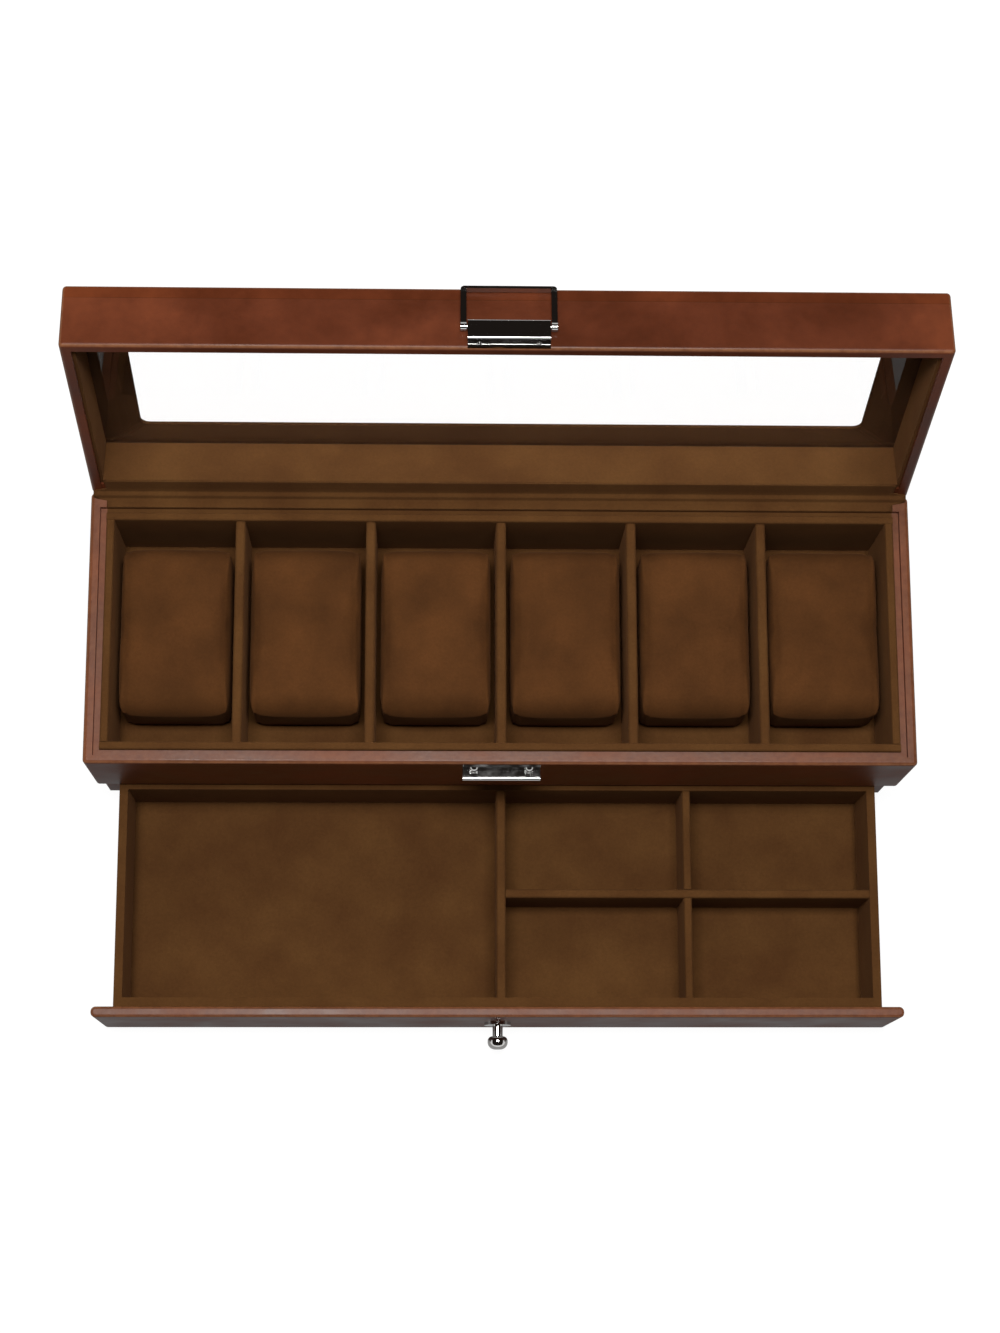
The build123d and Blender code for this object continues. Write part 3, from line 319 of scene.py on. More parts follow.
@dataclass(frozen=True)
class Leatherette:
    """Polyurethane leatherette, pressed with a fine grain, rubbed lighter at its edges and painted with
    highlights on its edges and rims.

    To the eye it is a reddish brown with soft darker clouds, a low satin gloss, and a thin paler
    line wherever it is stretched over an edge, partly wear and partly a painted highlight, and a
    painted highlight on its upward rims. Where a board is lined, its low side is suede, in a darker
    colour with painted shade.
    """

    name: str = "pu_leatherette"
    dark: str = "#4f2411"
    middle: str = "#5e2c16"
    light: str = "#70361b"
    # the paler colour of the edges and rims: partly wear, partly painted highlight
    wear_and_highlight: str = "#a06d48"
    # painted shade: the lining is a darker copy of the suede colour, for the shade under the lid's frame
    lining: str = "#36200f"
    lined_mm: float = 0.0  # how far up from the rim the lining goes
    # The lined window opening: half its width, its middle along the lid, half its depth, its top
    window_mm: tuple[float, float, float, float] = (153.7, 56.2, 42.5, 26.0)
    cloud_mm: float = 38.0
    speck_mm: float = 3.2
    speck_shade: tuple[float, float] = (0.92, 1.08)
    grain_mm: float = 1.3  # the pressed grain is nearer 0.5 mm, drawn coarser so that it shows
    grain_depth_mm: float = 0.05
    # how much paler the edges go: partly wear, partly painted highlight
    edge_wear_and_highlight: float = 0.55
    # how much paler the upward rims go: a painted highlight for the light from above
    rim_painted_highlight_share: float = 0.0
    edge_facing: tuple[float, float] = (0.99, 0.80)  # the largest part of a normal on an edge
    rim_facing: tuple[float, float] = (0.80, 0.97)  # the upward part of a normal on a rim
    gloss_rough: tuple[float, float] = (0.34, 0.50)
    lined_rough: float = 0.95
    refraction: float = 1.48
    shine: float = 0.28
    lean: float = 0.0  # how far the board leans from level as it stands

    def material(self) -> bpy.types.Material:
        """Builds the material."""
        material, tree, output = new_material(self.name)
        coords = add_node(tree, "ShaderNodeTexCoord")
        place = coords.outputs["Object"]
        clouds = noise_node(tree, place, self.cloud_mm, 4.0, 0.55, 0.2)
        tone = ramp_node(tree, clouds, [(0.32, self.dark), (0.50, self.middle), (0.68, self.light)])
        specks = noise_node(tree, place, self.speck_mm, 5.0, 0.7)
        toned = shade_node(tree, tone, remap_node(tree, specks, (0.3, 0.7), self.speck_shade))
        # mixes in the paler edges and rims: wear and painted highlight
        wear_and_highlight = self.wear_and_highlight_mask(tree, coords.outputs["Normal"], specks)
        skin = mix_colours(tree, wear_and_highlight, toned, self.wear_and_highlight)
        pebbles = add_node(
            tree,
            "ShaderNodeTexVoronoi",
            {"Scale": 1 / (self.grain_mm * MM), "Smoothness": 0.6, "Randomness": 1.0},
            {"Vector": place},
            feature="SMOOTH_F1",
        )
        creases = math_node(tree, "MULTIPLY_ADD", specks, 0.35, pebbles.outputs["Distance"])
        gloss = remap_node(tree, clouds, (0.35, 0.65), self.gloss_rough)
        if self.lined_mm:
            skin, gloss = self.line_low_side(tree, place, skin, gloss)
        surface = add_node(
            tree,
            "ShaderNodeBsdfPrincipled",
            {"IOR": self.refraction, "Specular IOR Level": self.shine},
            {
                "Base Color": skin,
                "Roughness": gloss,
                "Normal": bump_node(tree, creases, 0.5, self.grain_depth_mm),
            },
        )
        tree.links.new(surface.outputs["BSDF"], output.inputs["Surface"])
        return material

    def line_low_side(
        self,
        tree: bpy.types.NodeTree,
        place: bpy.types.NodeSocket,
        skin: bpy.types.NodeSocket,
        gloss: bpy.types.NodeSocket,
    ) -> tuple[bpy.types.NodeSocket, bpy.types.NodeSocket]:
        """Covers the side of a lid board that faces the rim, and its window's sill, with suede in a darker
        colour that holds painted shade.

        Args:
            tree: The material's tree.
            place: The place in the piece's own frame.
            skin: The leatherette's colour.
            gloss: The leatherette's roughness.

        Returns:
            The colour and the roughness with the lining in them.
        """
        half_width, middle, half_depth, top = self.window_mm
        rim = HINGE_POINT.dot(LID_UP) + RIM_HALF_GAP
        window_middle = HINGE_POINT.dot(LID_OUT) + middle * MM
        height = dot_node(tree, place, LID_UP)
        reach = dot_node(tree, place, LID_OUT)
        parts = add_node(tree, "ShaderNodeSeparateXYZ", links={0: place})
        low = math_node(tree, "LESS_THAN", height, rim + self.lined_mm * MM)
        below_top = math_node(tree, "LESS_THAN", height, rim + top * MM)
        in_width = math_node(tree, "COMPARE", parts.outputs["X"], 0.0, half_width * MM)
        in_depth = math_node(tree, "COMPARE", reach, window_middle, half_depth * MM)
        across = math_node(tree, "MULTIPLY", in_width, in_depth)
        sill = math_node(tree, "MULTIPLY", across, below_top)
        lined = math_node(tree, "MAXIMUM", low, sill)
        rough = add_node(
            tree, "ShaderNodeMix", {3: self.lined_rough}, {0: lined, 2: gloss}, data_type="FLOAT"
        )
        # the lining's colour carries painted shade
        return mix_colours(tree, lined, skin, self.lining), rough.outputs[0]

    def wear_and_highlight_mask(
        self, tree: bpy.types.NodeTree, normal: bpy.types.NodeSocket, specks: bpy.types.NodeSocket
    ) -> bpy.types.NodeSocket:
        """Finds the rounded edges, where the normal lies between the board's directions, for wear and a
        painted highlight, and the upward rims, for a painted highlight.

        Args:
            tree: The material's tree.
            normal: The normal in the piece's own frame.
            specks: A noise that breaks the line up.

        Returns:
            How much paler the leatherette is there with wear and painted highlight, from 0 to 1.
        """
        level = add_node(
            tree,
            "ShaderNodeVectorRotate",
            {"Angle": self.lean},
            {"Vector": normal},
            rotation_type="X_AXIS",
        ).outputs["Vector"]
        size = add_node(tree, "ShaderNodeVectorMath", links={0: level}, operation="ABSOLUTE")
        parts = add_node(tree, "ShaderNodeSeparateXYZ", links={0: size.outputs["Vector"]})
        larger = math_node(tree, "MAXIMUM", parts.outputs["X"], parts.outputs["Y"])
        largest = math_node(tree, "MAXIMUM", larger, parts.outputs["Z"])
        edges = remap_node(tree, largest, self.edge_facing, (0.0, self.edge_wear_and_highlight), "SMOOTHSTEP")
        upward = add_node(tree, "ShaderNodeSeparateXYZ", links={0: level}).outputs["Z"]
        # painted highlight on the upward rims, where the light from above falls
        painted_rim_highlight = remap_node(tree, upward, self.rim_facing, (0.0, self.rim_painted_highlight_share), "SMOOTHSTEP")
        broken = remap_node(tree, specks, (0.35, 0.6), (0.55, 1.0))
        return math_node(tree, "MULTIPLY", math_node(tree, "MAXIMUM", edges, painted_rim_highlight), broken)


@dataclass(frozen=True)
class Suede:
    """Brushed microfibre suede, glued over board or sewn over stuffing.

    To the eye it has no gloss at all, only a soft bloom at its edges, and its nap lies
    lighter or darker in patches where a hand has brushed it.
    """

    name: str = "microfibre_suede"
    dark: str = "#51331a"
    light: str = "#5f3f21"
    patch_mm: float = 24.0
    fibre_mm: float = 1.1  # a fibre is 0.02 mm, so its clumps are drawn instead
    fibre_depth_mm: float = 0.09
    fibre_shade: tuple[float, float] = (0.88, 1.12)
    rough: float = 0.95
    shine: float = 0.08
    bloom: float = 0.16
    bloom_rough: float = 0.45
    bloom_colour: str = "#b07a50"

    def material(self) -> bpy.types.Material:
        """Builds the material."""
        material, tree, output = new_material(self.name)
        place = add_node(tree, "ShaderNodeTexCoord").outputs["Object"]
        patches = noise_node(tree, place, self.patch_mm, 3.0)
        tone = ramp_node(tree, patches, [(0.3, self.dark), (0.7, self.light)])
        fibres = noise_node(tree, place, self.fibre_mm, 6.0, 0.75)
        toned = shade_node(tree, tone, remap_node(tree, fibres, (0.3, 0.7), self.fibre_shade))
        surface = add_node(
            tree,
            "ShaderNodeBsdfPrincipled",
            {
                "Roughness": self.rough,
                "Specular IOR Level": self.shine,
                "Sheen Weight": self.bloom,
                "Sheen Roughness": self.bloom_rough,
                "Sheen Tint": linear(self.bloom_colour),
            },
            {"Base Color": toned, "Normal": bump_node(tree, fibres, 0.6, self.fibre_depth_mm)},
        )
        tree.links.new(surface.outputs["BSDF"], output.inputs["Surface"])
        return material


@dataclass(frozen=True)
class PaperedBoard:
    """Fibreboard covered with dark brown paper, where no suede or leatherette reaches.

    To the eye it is flat and dull, with faint mottling from the pulp.
    """

    name: str = "papered_board"
    dark: str = "#2c1a10"
    light: str = "#3c2617"
    pulp_mm: float = 2.5
    pulp_depth_mm: float = 0.04
    rough: float = 0.78
    shine: float = 0.3

    def material(self) -> bpy.types.Material:
        """Builds the material."""
        material, tree, output = new_material(self.name)
        place = add_node(tree, "ShaderNodeTexCoord").outputs["Object"]
        pulp = noise_node(tree, place, self.pulp_mm, 6.0, 0.7)
        surface = add_node(
            tree,
            "ShaderNodeBsdfPrincipled",
            {"Roughness": self.rough, "Specular IOR Level": self.shine},
            {
                "Base Color": ramp_node(tree, pulp, [(0.35, self.dark), (0.65, self.light)]),
                "Normal": bump_node(tree, pulp, 0.4, self.pulp_depth_mm),
            },
        )
        tree.links.new(surface.outputs["BSDF"], output.inputs["Surface"])
        return material


@dataclass(frozen=True)
class PlatedMetal:
    """Plated or brushed metal with fine handling marks.

    To the eye it mirrors the room, a little dulled where fingers have rubbed it.
    """

    name: str
    colour: str
    smooth: float
    rubbed: float
    scratch_mm: tuple[float, float, float] = (14.0, 0.5, 0.5)
    scratch_depth_mm: float = 0.004
    smear_mm: float = 5.0

    def material(self) -> bpy.types.Material:
        """Builds the material."""
        material, tree, output = new_material(self.name)
        place = add_node(tree, "ShaderNodeTexCoord").outputs["Object"]
        stretched = add_node(
            tree,
            "ShaderNodeMapping",
            {"Scale": tuple(1 / (length * MM) for length in self.scratch_mm)},
            {"Vector": place},
        )
        scratches = add_node(
            tree,
            "ShaderNodeTexNoise",
            {"Scale": 1.0, "Detail": 5.0, "Roughness": 0.7},
            {"Vector": stretched.outputs["Vector"]},
        )
        smears = noise_node(tree, place, self.smear_mm, 3.0)
        surface = add_node(
            tree,
            "ShaderNodeBsdfPrincipled",
            {"Base Color": linear(self.colour), "Metallic": 1.0},
            {
                "Roughness": remap_node(tree, smears, (0.4, 0.7), (self.smooth, self.rubbed)),
                "Normal": bump_node(tree, scratches.outputs["Fac"], 0.5, self.scratch_depth_mm),
            },
        )
        tree.links.new(surface.outputs["BSDF"], output.inputs["Surface"])
        return material


@dataclass(frozen=True)
class WindowGlass:
    """Clear float glass.

    To the eye it is only its reflections, with a faint film of dust. Lamps shine through it, and
    its ground edges, set in the lining, are drawn opaque and dark brown.
    """

    name: str = "float_glass"
    # the edges are drawn opaque in this dark brown
    edge: str = "#241710"
    film_mm: float = 30.0
    film_rough: tuple[float, float] = (0.0, 0.03)
    refraction: float = 1.45
    edge_shine: float = 0.32
    clear_facing: float = 0.5  # the sides that face up or down more than this are clear

    def material(self) -> bpy.types.Material:
        """Builds the material."""
        material, tree, output = new_material(self.name)
        coords = add_node(tree, "ShaderNodeTexCoord")
        film = noise_node(tree, coords.outputs["Object"], self.film_mm, 3.0)
        facing = math_node(tree, "ABSOLUTE", dot_node(tree, coords.outputs["Normal"], LID_UP))
        clear_side = math_node(tree, "GREATER_THAN", facing, self.clear_facing)
        pane = add_node(
            tree,
            "ShaderNodeBsdfPrincipled",
            {"IOR": self.refraction, "Specular IOR Level": self.edge_shine},
            {
                "Base Color": mix_colours(tree, clear_side, self.edge, "#ffffff"),
                "Roughness": remap_node(tree, film, (0.45, 0.75), self.film_rough),
                "Transmission Weight": clear_side,
            },
        )
        clear = add_node(tree, "ShaderNodeBsdfTransparent")
        path = add_node(tree, "ShaderNodeLightPath")
        mix_shaders(tree, output, path.outputs["Is Shadow Ray"], pane, clear)
        return material


class Finishes:
    """Every finish of the box, made once."""

    def __init__(self) -> None:
        """Builds the materials."""
        # the case's upward rims get a painted highlight
        self.leatherette = Leatherette(rim_painted_highlight_share=0.24).material()
        self.lid_leatherette = Leatherette(name="pu_leatherette_lid", lean=LID_LEAN).material()
        # its low side and window sill take the darker lining colour, with painted shade
        self.frame_leatherette = Leatherette(
            name="lined_pu_leatherette", lean=LID_LEAN, lined_mm=21.3, shine=0.12
        ).material()
        self.suede = Suede().material()
        self.cushion_suede = Suede("cushion_suede", "#4d2f17", "#5e3a1d", patch_mm=20.0).material()
        self.board = PaperedBoard().material()
        # Chrome mirrors the dark and the white of the room in sharp bands
        self.chrome = PlatedMetal("polished_chrome", "#c9c8c6", 0.04, 0.10).material()
        # Brushed steel spreads them along its scratches, and old brass is dull and brown
        self.steel = PlatedMetal(
            "brushed_steel", "#a9a6a1", 0.26, 0.4, scratch_mm=(6.0, 0.25, 0.25), scratch_depth_mm=0.02
        ).material()
        self.brass = PlatedMetal("antique_brass", "#7d5a40", 0.30, 0.42).material()
        self.glass = WindowGlass().material()


def dress(names: list[str], material: bpy.types.Material) -> None:
    """Gives CAD nodes their finish.

    Args:
        names: The nodes.
        material: The material of their one slot.
    """
    for name in names:
        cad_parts[name].material_slots[0].material = material
        LOG.info("%s: %s", name, material.name)


def new_piece(name: str, shape: bmesh.types.BMesh, material: bpy.types.Material) -> bpy.types.Object:
    """Makes an object of a finished bmesh, and frees the bmesh.

    Args:
        name: The piece's name.
        shape: Its shape, in place in the frame of the box.
        material: Its finish.

    Returns:
        The object, smooth shaded, at the origin.
    """
    mesh = bpy.data.meshes.new(name)
    for face in shape.faces:
        face.smooth = True
    shape.to_mesh(mesh)
    shape.free()
    mesh.materials.append(material)
    piece = bpy.data.objects.new(name, mesh)
    bpy.context.scene.collection.objects.link(piece)
    LOG.info("%s: %d faces", name, len(mesh.polygons))
    return piece


def eased(distance: float, width: float) -> float:
    """How far a rounded border has risen: 0 at the border, 1 at its width and beyond."""
    share = min(max(distance / width, 0.0), 1.0)
    return math.sqrt(1 - (1 - share) ** 2)


@dataclass
class Cushions:
    """The six stuffed watch cushions."""

    count: int = 6
    shrink_mm: tuple[float, float, float] = (1.3, 1.4, 1.8)
    corner_mm: float = 2.8
    corner_segments: int = 4
    voxel_mm: float = 2.0
    pressure: float = 3.0
    cloth_quality: int = 5
    frames: int = 18
    cap_mm: float = 1.2
    # How the top falls: towards front and back, towards the ends, and in the roll at front and back
    crown_mm: float = 2.8
    end_drop_mm: float = 1.6
    roll_mm: float = 11.0
    roll_share: float = 0.24
    seam_from_end_mm: float = 2.6
    seam_width_mm: float = 0.9
    seam_depth_mm: float = 0.45
    wobble_mm: float = 0.22
    lumps_per_metre: float = 55.0
    lump_shift: float = 7.3  # moves the lumps on from one cushion to the next

    def build(self, finishes: Finishes) -> None:
        """Stuffs one cushion, and sets a copy with its own creases in each space."""
        low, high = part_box("cushion_1")
        pattern = self.stuffed(low, high)
        for number in range(1, self.count + 1):
            self.place(pattern, number, low, finishes)
        bpy.data.meshes.remove(pattern)

    def blank(self, low: Vector, high: Vector) -> bpy.types.Object:
        """Makes the slightly small block that the stuffing swells.

        Args:
            low: The lowest corner of the cushion's CAD solid.
            high: Its highest corner.

        Returns:
            The block, rounded and remeshed.
        """
        size = high - low - Vector(self.shrink_mm) * MM
        centre = (low + high) / 2
        shape = bmesh.new()
        bmesh.ops.create_cube(shape, size=1.0)
        bmesh.ops.scale(shape, vec=size, verts=shape.verts)
        bmesh.ops.bevel(
            shape,
            geom=shape.edges[:],
            offset=self.corner_mm * MM,
            segments=self.corner_segments,
            profile=0.5,
            material=-1,
            affect="EDGES",
        )
        bmesh.ops.translate(shape, vec=centre, verts=shape.verts)
        mesh = bpy.data.meshes.new("cushion_blank")
        shape.to_mesh(mesh)
        shape.free()
        block = bpy.data.objects.new("cushion_blank", mesh)
        bpy.context.scene.collection.objects.link(block)
        remesh = block.modifiers.new("voxels", "REMESH")
        remesh.mode = "VOXEL"
        remesh.voxel_size = self.voxel_mm * MM
        self.apply_modifiers(block)
        return block

    def apply_modifiers(self, piece: bpy.types.Object) -> None:
        """Applies every modifier of a piece."""
        graph = bpy.context.evaluated_depsgraph_get()
        made = bpy.data.meshes.new_from_object(piece.evaluated_get(graph))
        piece.modifiers.clear()
        old, piece.data = piece.data, made
        bpy.data.meshes.remove(old)

    def stuffed(self, low: Vector, high: Vector) -> bpy.types.Mesh:
        """Swells the blank with a cloth simulation and holds it in its space.

        Args:
            low: The lowest corner of the cushion's CAD solid.
            high: Its highest corner.

        Returns:
            The mesh of the stuffed cushion, subdivided once.
        """
        block = self.blank(low, high)
        before = [vertex.co.copy() for vertex in block.data.vertices]
        cloth = block.modifiers.new("stuffing", "CLOTH")
        cloth.settings.use_pressure = True
        cloth.settings.uniform_pressure_force = self.pressure
        cloth.settings.effector_weights.gravity = 0.0
        cloth.settings.quality = self.cloth_quality
        cloth.point_cache.frame_start = 1
        cloth.point_cache.frame_end = self.frames
        for step in range(1, self.frames + 1):
            bpy.context.scene.frame_set(step)
        self.apply_modifiers(block)
        bpy.context.scene.frame_set(1)
        for vertex, start in zip(block.data.vertices, before):
            move = vertex.co - start
            if move.length > self.cap_mm * MM:
                move.length = self.cap_mm * MM
            spot = start + move
            vertex.co = Vector(min(max(spot[i], low[i]), high[i]) for i in range(3))
            vertex.co.z = min(vertex.co.z, self.crown(spot, low, high))
        smooth = block.modifiers.new("smooth", "SUBSURF")
        smooth.levels = 1
        smooth.render_levels = 1
        self.apply_modifiers(block)
        mesh = block.data.copy()
        bpy.data.objects.remove(block)
        return mesh

    def crown(self, spot: Vector, low: Vector, high: Vector) -> float:
        """The height of the crowned top over a place, lower towards the front, back and ends."""
        across = abs(2 * spot.x - low.x - high.x) / (high.x - low.x)
        along = abs(2 * spot.y - low.y - high.y) / (high.y - low.y)
        bend = max(along - 1 + self.roll_share, 0.0) / self.roll_share
        roll = self.roll_mm * (1 - math.sqrt(max(1 - min(bend, 1.0) ** 2, 0.0)))
        return high.z - (self.crown_mm * along**2 + self.end_drop_mm * across**3 + roll) * MM

    def place(self, pattern: bpy.types.Mesh, number: int, low: Vector, finishes: Finishes) -> None:
        """Sets one cushion in its space, with its seams and its own small creases.

        Args:
            pattern: The mesh of the first cushion.
            number: The space, counted from the left.
            low: The lowest corner of the first cushion's CAD solid.
            finishes: The finishes.
        """
        own_low, own_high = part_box(f"cushion_{number}")
        centre = (own_low + own_high) / 2
        half = (own_high.x - own_low.x) / 2
        shape = bmesh.new()
        shape.from_mesh(pattern)
        bmesh.ops.translate(shape, vec=(own_low.x - low.x, 0, 0), verts=shape.verts)
        for vertex in shape.verts:
            across = vertex.co.x - centre.x
            to_seam = abs(abs(across) - (half - self.seam_from_end_mm * MM))
            pull = self.seam_depth_mm * MM * math.exp(-((to_seam / (self.seam_width_mm * MM)) ** 2))
            inward = Vector((0, centre.y - vertex.co.y, centre.z - vertex.co.z)).normalized()
            shift = Vector((0, 0, number * self.lump_shift))
            lump = noise.noise(vertex.co * self.lumps_per_metre + shift)
            vertex.co += inward * (pull + max(lump, 0.0) * self.wobble_mm * MM)
            vertex.co.z = max(vertex.co.z, own_low.z)
        bmesh.ops.recalc_face_normals(shape, faces=shape.faces)
        cushion = new_piece(f"stuffed_cushion_{number}", shape, finishes.cushion_suede)
        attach(cushion, f"cushion_{number}")
        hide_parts(f"cushion_{number}")


@dataclass
class PaddedLining:
    """A lining of suede over thin wadding, soft at its border and pressed down by what stands on it."""

    node: str
    body: Body
    name: str
    border_mm: float = 2.2
    drop_mm: float = 0.7
    wobble_mm: float = 0.14
    ripples_per_metre: float = 42.0
    cell_mm: float = 2.6
    # What presses it down, in mm: the place and half the width of walls that run front to back,
    # and for walls that run left to right also where they start
    pressed_x: list[tuple[float, float]] = field(default_factory=list)
    pressed_y: list[tuple[float, float, float]] = field(default_factory=list)

    def build(self, finishes: Finishes) -> None:
        """Builds the lining as one sheet with its edges turned down."""
        low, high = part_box(self.node)
        width, depth = high.x - low.x, high.y - low.y
        shape = bmesh.new()
        bmesh.ops.create_grid(
            shape,
            x_segments=round(width / (self.cell_mm * MM)),
            y_segments=round(depth / (self.cell_mm * MM)),
            size=0.5,
        )
        bmesh.ops.scale(shape, vec=(width, depth, 1), verts=shape.verts)
        middle = ((low.x + high.x) / 2, (low.y + high.y) / 2, high.z)
        bmesh.ops.translate(shape, vec=middle, verts=shape.verts)
        rim = [edge for edge in shape.edges if edge.is_boundary]
        for vertex in shape.verts:
            vertex.co.z -= self.sink(vertex.co, low, high)
        made = bmesh.ops.extrude_edge_only(shape, edges=rim)
        for vertex in (part for part in made["geom"] if isinstance(part, bmesh.types.BMVert)):
            vertex.co.z = low.z
        bottom = [edge for edge in shape.edges if edge.is_boundary]
        bmesh.ops.holes_fill(shape, edges=bottom, sides=0)
        bmesh.ops.recalc_face_normals(shape, faces=shape.faces)
        lining = new_piece(self.name, shape, finishes.suede)
        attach(lining, self.body.value)
        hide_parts(self.node)

    def sink(self, place: Vector, low: Vector, high: Vector) -> float:
        """How far the lining lies below its highest level at a place, in metres."""
        to_border = min(place.x - low.x, high.x - place.x, place.y - low.y, high.y - place.y)
        gaps = [to_border]
        gaps += [abs(place.x - x * MM) - half * MM for x, half in self.pressed_x]
        gaps += [
            abs(place.y - y * MM) - half * MM
            for y, half, start in self.pressed_y
            if place.x > start * MM
        ]
        rise = eased(min(gaps), self.border_mm * MM)
        ripple = 0.5 + 0.5 * noise.noise(place * self.ripples_per_metre)
        return self.drop_mm * MM * (1 - rise) + self.wobble_mm * MM * ripple * rise


@dataclass
class HingeCloth:
    """The strip of suede over the hinge: glued to the case and to the lid, and free between them."""

    half_width_mm: float = 160.95
    fold_half_width_mm: float = 166.3
    # Where the free fold starts and ends, as shares of the way from the case to the lid
    fold_start: float = 0.20
    fold_end: float = 0.56
    fold_ease: float = 0.55
    case_front_mm: float = 5.75
    case_glued_mm: float = 3.6
    lid_reach_mm: float = 9.9
    lid_glued_mm: float = 3.8
    rise_start_mm: float = 2.1
    rise_mm: float = 0.25
    bulge_mm: float = 2.1
    proud_mm: float = 0.06
    thickness_mm: float = 0.5
    end_round_mm: float = 0.8
    case_still_mm: float = 1.4
    lid_still_mm: float = 1.9
    columns: int = 150
    rows: int = 44

    def build(self, finishes: Finishes) -> None:
        """Builds the strip along its profile, which bends from the case to the lid."""
        path = self.profile()
        shape = bmesh.new()
        bmesh.ops.create_grid(shape, x_segments=self.columns, y_segments=self.rows, size=0.5)
        for vertex in shape.verts:
            along = vertex.co.y + 0.5
            spot = self.on_path(path, along)
            to_end = min(along, 1 - along) * self.length(path)
            half = (self.half_width_mm - self.end_round_mm) * MM
            half += self.end_round_mm * MM * eased(to_end, self.end_round_mm * MM)
            half = max(half, self.fold_half(along))
            vertex.co = Vector((vertex.co.x * 2 * half, spot.y, spot.z))
        bmesh.ops.recalc_face_normals(shape, faces=shape.faces)
        shape.normal_update()
        facing = sum((face.normal for face in shape.faces), Vector())
        if facing.dot(Vector((0, -1, 1))) < 0:
            bmesh.ops.reverse_faces(shape, faces=shape.faces)
            shape.normal_update()
        bmesh.ops.solidify(shape, geom=shape.faces[:], thickness=self.thickness_mm * MM)
        bmesh.ops.recalc_face_normals(shape, faces=shape.faces)
        cloth = new_piece("hinge_cloth", shape, finishes.suede)
        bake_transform(cloth)
        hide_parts("case_hinge_cloth", "lid_hinge_cloth")

    def fold_half(self, along: float) -> float:
        """Half the width of the strip's free fold, which goes on over the side boards, in metres."""
        middle = (self.fold_start + self.fold_end) / 2
        reach = (self.fold_end - self.fold_start) / 2
        share = 1 - min(abs(along - middle) / reach, 1.0)
        if share <= 0:
            return 0.0
        extra = (self.fold_half_width_mm - self.half_width_mm) * eased(share, self.fold_ease)
        return (self.half_width_mm + extra) * MM

    def profile(self) -> list[Vector]:
        """The strip's line across the hinge, from the front of the case's rail to the lid."""
        case_level = Vector((0, 0, -RIM_HALF_GAP + self.proud_mm * MM))
        lid_level = LID_UP * (RIM_HALF_GAP - self.proud_mm * MM)
        forward = Vector((0, -1, 0))
        between = (LID_OUT + forward).normalized()
        return [
            HINGE_POINT + case_level + forward * self.case_front_mm * MM,
            HINGE_POINT + case_level + forward * self.case_glued_mm * MM,
            HINGE_POINT + case_level + Vector((0, -self.rise_start_mm, self.rise_mm)) * MM,
            HINGE_POINT + between * self.bulge_mm * MM,
            HINGE_POINT + lid_level + LID_OUT * self.rise_start_mm * MM - LID_UP * self.rise_mm * MM,
            HINGE_POINT + lid_level + LID_OUT * self.lid_glued_mm * MM,
            HINGE_POINT + lid_level + LID_OUT * self.lid_reach_mm * MM,
        ]

    def length(self, path: list[Vector]) -> float:
        """The length of a line of points."""
        return sum((b - a).length for a, b in zip(path, path[1:]))

    def on_path(self, path: list[Vector], share: float) -> Vector:
        """The point at a share of a line's length.

        Args:
            path: The line's points.
            share: From 0 at its start to 1 at its end.

        Returns:
            The point.
        """
        left = share * self.length(path)
        for a, b in zip(path, path[1:]):
            step = (b - a).length
            if left <= step or b is path[-1]:
                return a.lerp(b, min(left / step, 1.0))
            left -= step
        return path[-1]


@dataclass
class Case:
    """The fixed case: boards, tray and catch."""

    dividers: int = 5

    def build(self, finishes: Finishes) -> None:
        """Dresses the boards and builds the soft parts of the tray."""
        dress(["left_side_panel", "right_side_panel", "back_panel", "front_rail"], finishes.leatherette)
        dress(["back_rail", "front_liner", "back_liner", "left_liner", "right_liner"], finishes.suede)
        dress([f"divider_{number}" for number in range(1, self.dividers + 1)], finishes.suede)
        dress(["base_panel", "shelf_panel", "left_drawer_guide", "right_drawer_guide"], finishes.board)
        dress(["catch_plate", "catch_screws"], finishes.chrome)
        dress(["hinge_case_leaves", "hinge_case_screws"], finishes.steel)
        dress(["hinge_pins"], finishes.brass)
        PaddedLining(
            "tray_floor_lining", Body.CASE, "tray_lining", border_mm=1.2, drop_mm=0.4
        ).build(finishes)


@dataclass
class Lid:
    """The lid with its window, and the clasp on its front."""

    def build(self, finishes: Finishes) -> None:
        """Dresses the lid and the clasp."""
        walls = ["lid_left_wall", "lid_right_wall", "lid_front_wall", "lid_back_wall"]
        dress(walls, finishes.lid_leatherette)
        dress(["lid_top_frame"], finishes.frame_leatherette)
        linings = ["lid_left_lining", "lid_right_lining", "lid_front_lining", "lid_back_lining"]
        dress(linings, finishes.suede)
        dress(["glass_pane"], finishes.glass)
        dress(["clasp_plate", "clasp_pin", "clasp_screws", "clasp_loop"], finishes.chrome)
        dress(["hinge_lid_leaves", "hinge_lid_screws"], finishes.steel)


@dataclass
class Drawer:
    """The drawer with its front, its box and its lining."""

    def build(self, finishes: Finishes) -> None:
        """Dresses the drawer and builds its lining."""
        dress(["drawer_front"], finishes.leatherette)
        walls = ["drawer_front_wall", "drawer_left_side", "drawer_right_side", "drawer_back_wall"]
        dividers = ["drawer_middle_divider", "drawer_right_divider", "drawer_cross_divider"]
        dress(walls + dividers, finishes.suede)
        dress(["drawer_bottom"], finishes.board)
        dress(["drawer_knob"], finishes.chrome)
        dress(["knob_screw"], finishes.steel)
        PaddedLining(
            "drawer_floor_lining",
            Body.DRAWER,
            "drawer_lining",
            pressed_x=[(1.0, 1.9), (78.7, 1.65)],
            pressed_y=[(-101.05, 1.8, 2.9)],
        ).build(finishes)


